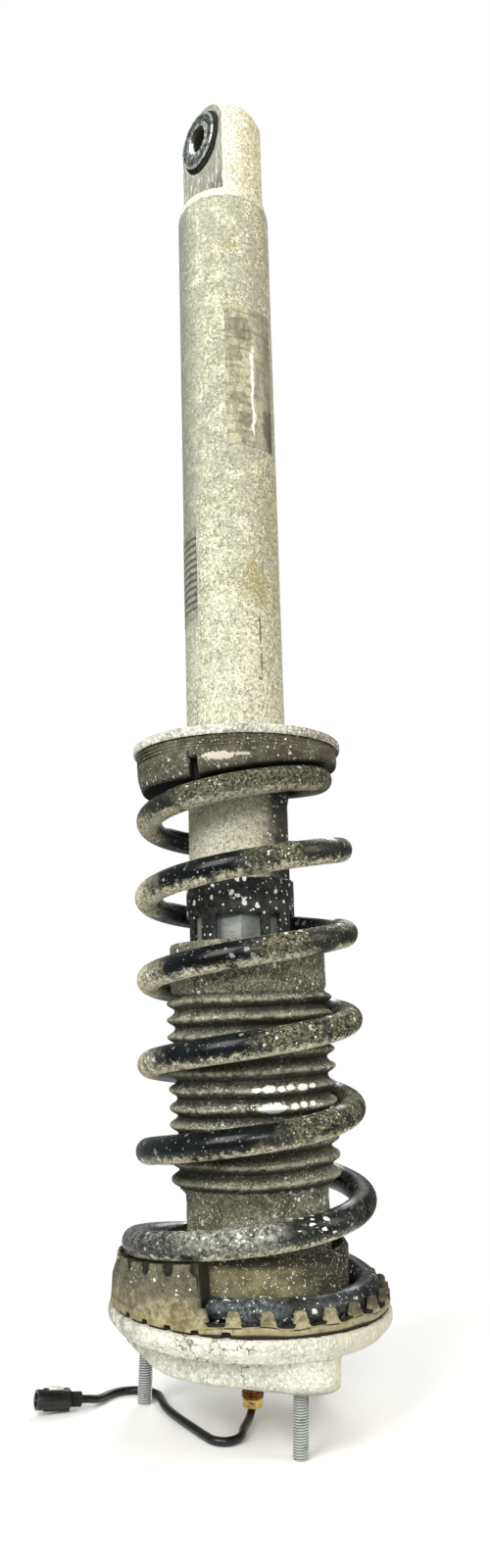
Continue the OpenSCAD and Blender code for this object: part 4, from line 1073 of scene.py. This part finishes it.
for name, node, body, edge in (("gland_grommet", "gland_seal", "top_mount", 0.3),
        ("rod_lip_seal", "rod_seal", "damper_tube", 1),
        ("gas_piston_ring", "gas_piston_seal", "gas_piston", 1)):
    outer, low, high = sizes(node)
    inner = float(np.min(np.hypot(*(points_of(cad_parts[node])[:, :2] / MM).T)))
    turned_piece(name, body, "seal_rubber", [node], ring_outline(inner, outer, low, high), edge)

FOAM_R, CUP_TOP, WAISTS = ROD_R + 14, SHOULDER_Z + 14, 4
stop_top = sizes("bump_stop")[2]
stop_outline = [(ROD_R + 0.1, SHOULDER_Z, 0.3), (FOAM_R, SHOULDER_Z, 0.6)]
for k in range(WAISTS):
    z = CUP_TOP + k * (stop_top - CUP_TOP) / WAISTS
    stop_outline += corners(FOAM_R, z, (0, 2, 1.5), (-5, 5, 1.8), (-5, 8, 1.8), (-k, 12, 1.5))
stop_outline += [(FOAM_R - 8, stop_top, 2), (ROD_R + 0.1, stop_top, 1)]
bump_stop = turned_piece("foam_bump_stop", "top_mount", "stop_foam", ["bump_stop"], stop_outline, 1, corner=5)

for node, look in (("bush_core", "plain_steel"), ("lower_washer", "rusty_steel"), ("bump_cup", "zinc_steel"),
        ("rebound_stop", "seal_rubber"), ("piston", "plain_steel"), ("piston_band", "band_plastic"),
        ("valve_body", "plain_steel"), ("rod_guide", "guide_bronze"), ("gas_piston", "plain_steel")):
    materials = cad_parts[node].data.materials
    materials.clear()
    materials.append(LOOKS[look])


# ---- Floor, light and background ----

FLOOR_R = 620
material("floor_paint", Vector((0.94, 0.94, 0.93)), Roughness=0.9,
    Alpha=vector("LENGTH", PLACE, output="Value").ramp(170, 450, 1, 0))
floor = mesh_piece("pale_floor", [turned(FLOOR_R, a, -STUD_TIP) for a in whole_turn(96)], [tuple(range(96))],
    about("Y", LEAN))
floor.data.materials.append(LOOKS["floor_paint"])

scene.world = bpy.data.worlds.new("studio")
scene.world.use_nodes = True
sky = Nodes(scene.world.node_tree)
seen = sky.node("LightPath")
dimmed = sky.node("MapRange", seen["Is Glossy Ray"], 0, 1, 0.56, 0.3)[0]
lit = sky.node("Background", Vector((0.98, 0.99, 1)), dimmed)[0]
white = sky.fill(sky.tree.nodes["Background"], Vector((1, 1, 1)), 1)[0]
chosen = sky.node("MixShader", seen["Is Camera Ray"], lit, white)[0]
sky.fill(sky.tree.nodes["World Output"], chosen)
scene.view_settings.view_transform = "Standard"

for name, place, target_z, size, energy, colour in (
        ("key", (-0.75, -1.1, 1.15), 0.35, (0.8, 1.1), 23, (1, 0.99, 0.95)),
        ("front", (0.1, -1.5, 0.75), 0.2, (0.5, 0.4), 8, (1, 1, 0.97)),
        ("side", (1.3, -0.3, 0.9), 0.3, (0.5, 1), 7, (1, 0.95, 0.85)),
        ("back", (0.3, 1.4, 1.1), 0.35, (0.9, 0.9), 12, (1, 1, 1))):
    lamp = setup(bpy.data.lights.new(name, "AREA"), shape="RECTANGLE", size=size[0], size_y=size[1], energy=energy,
        color=colour)
    aim = Vector((0, 0, target_z)) - Vector(place)
    setup(put(name, lamp), location=place, rotation_euler=aim.to_track_quat("-Z", "Y").to_euler())
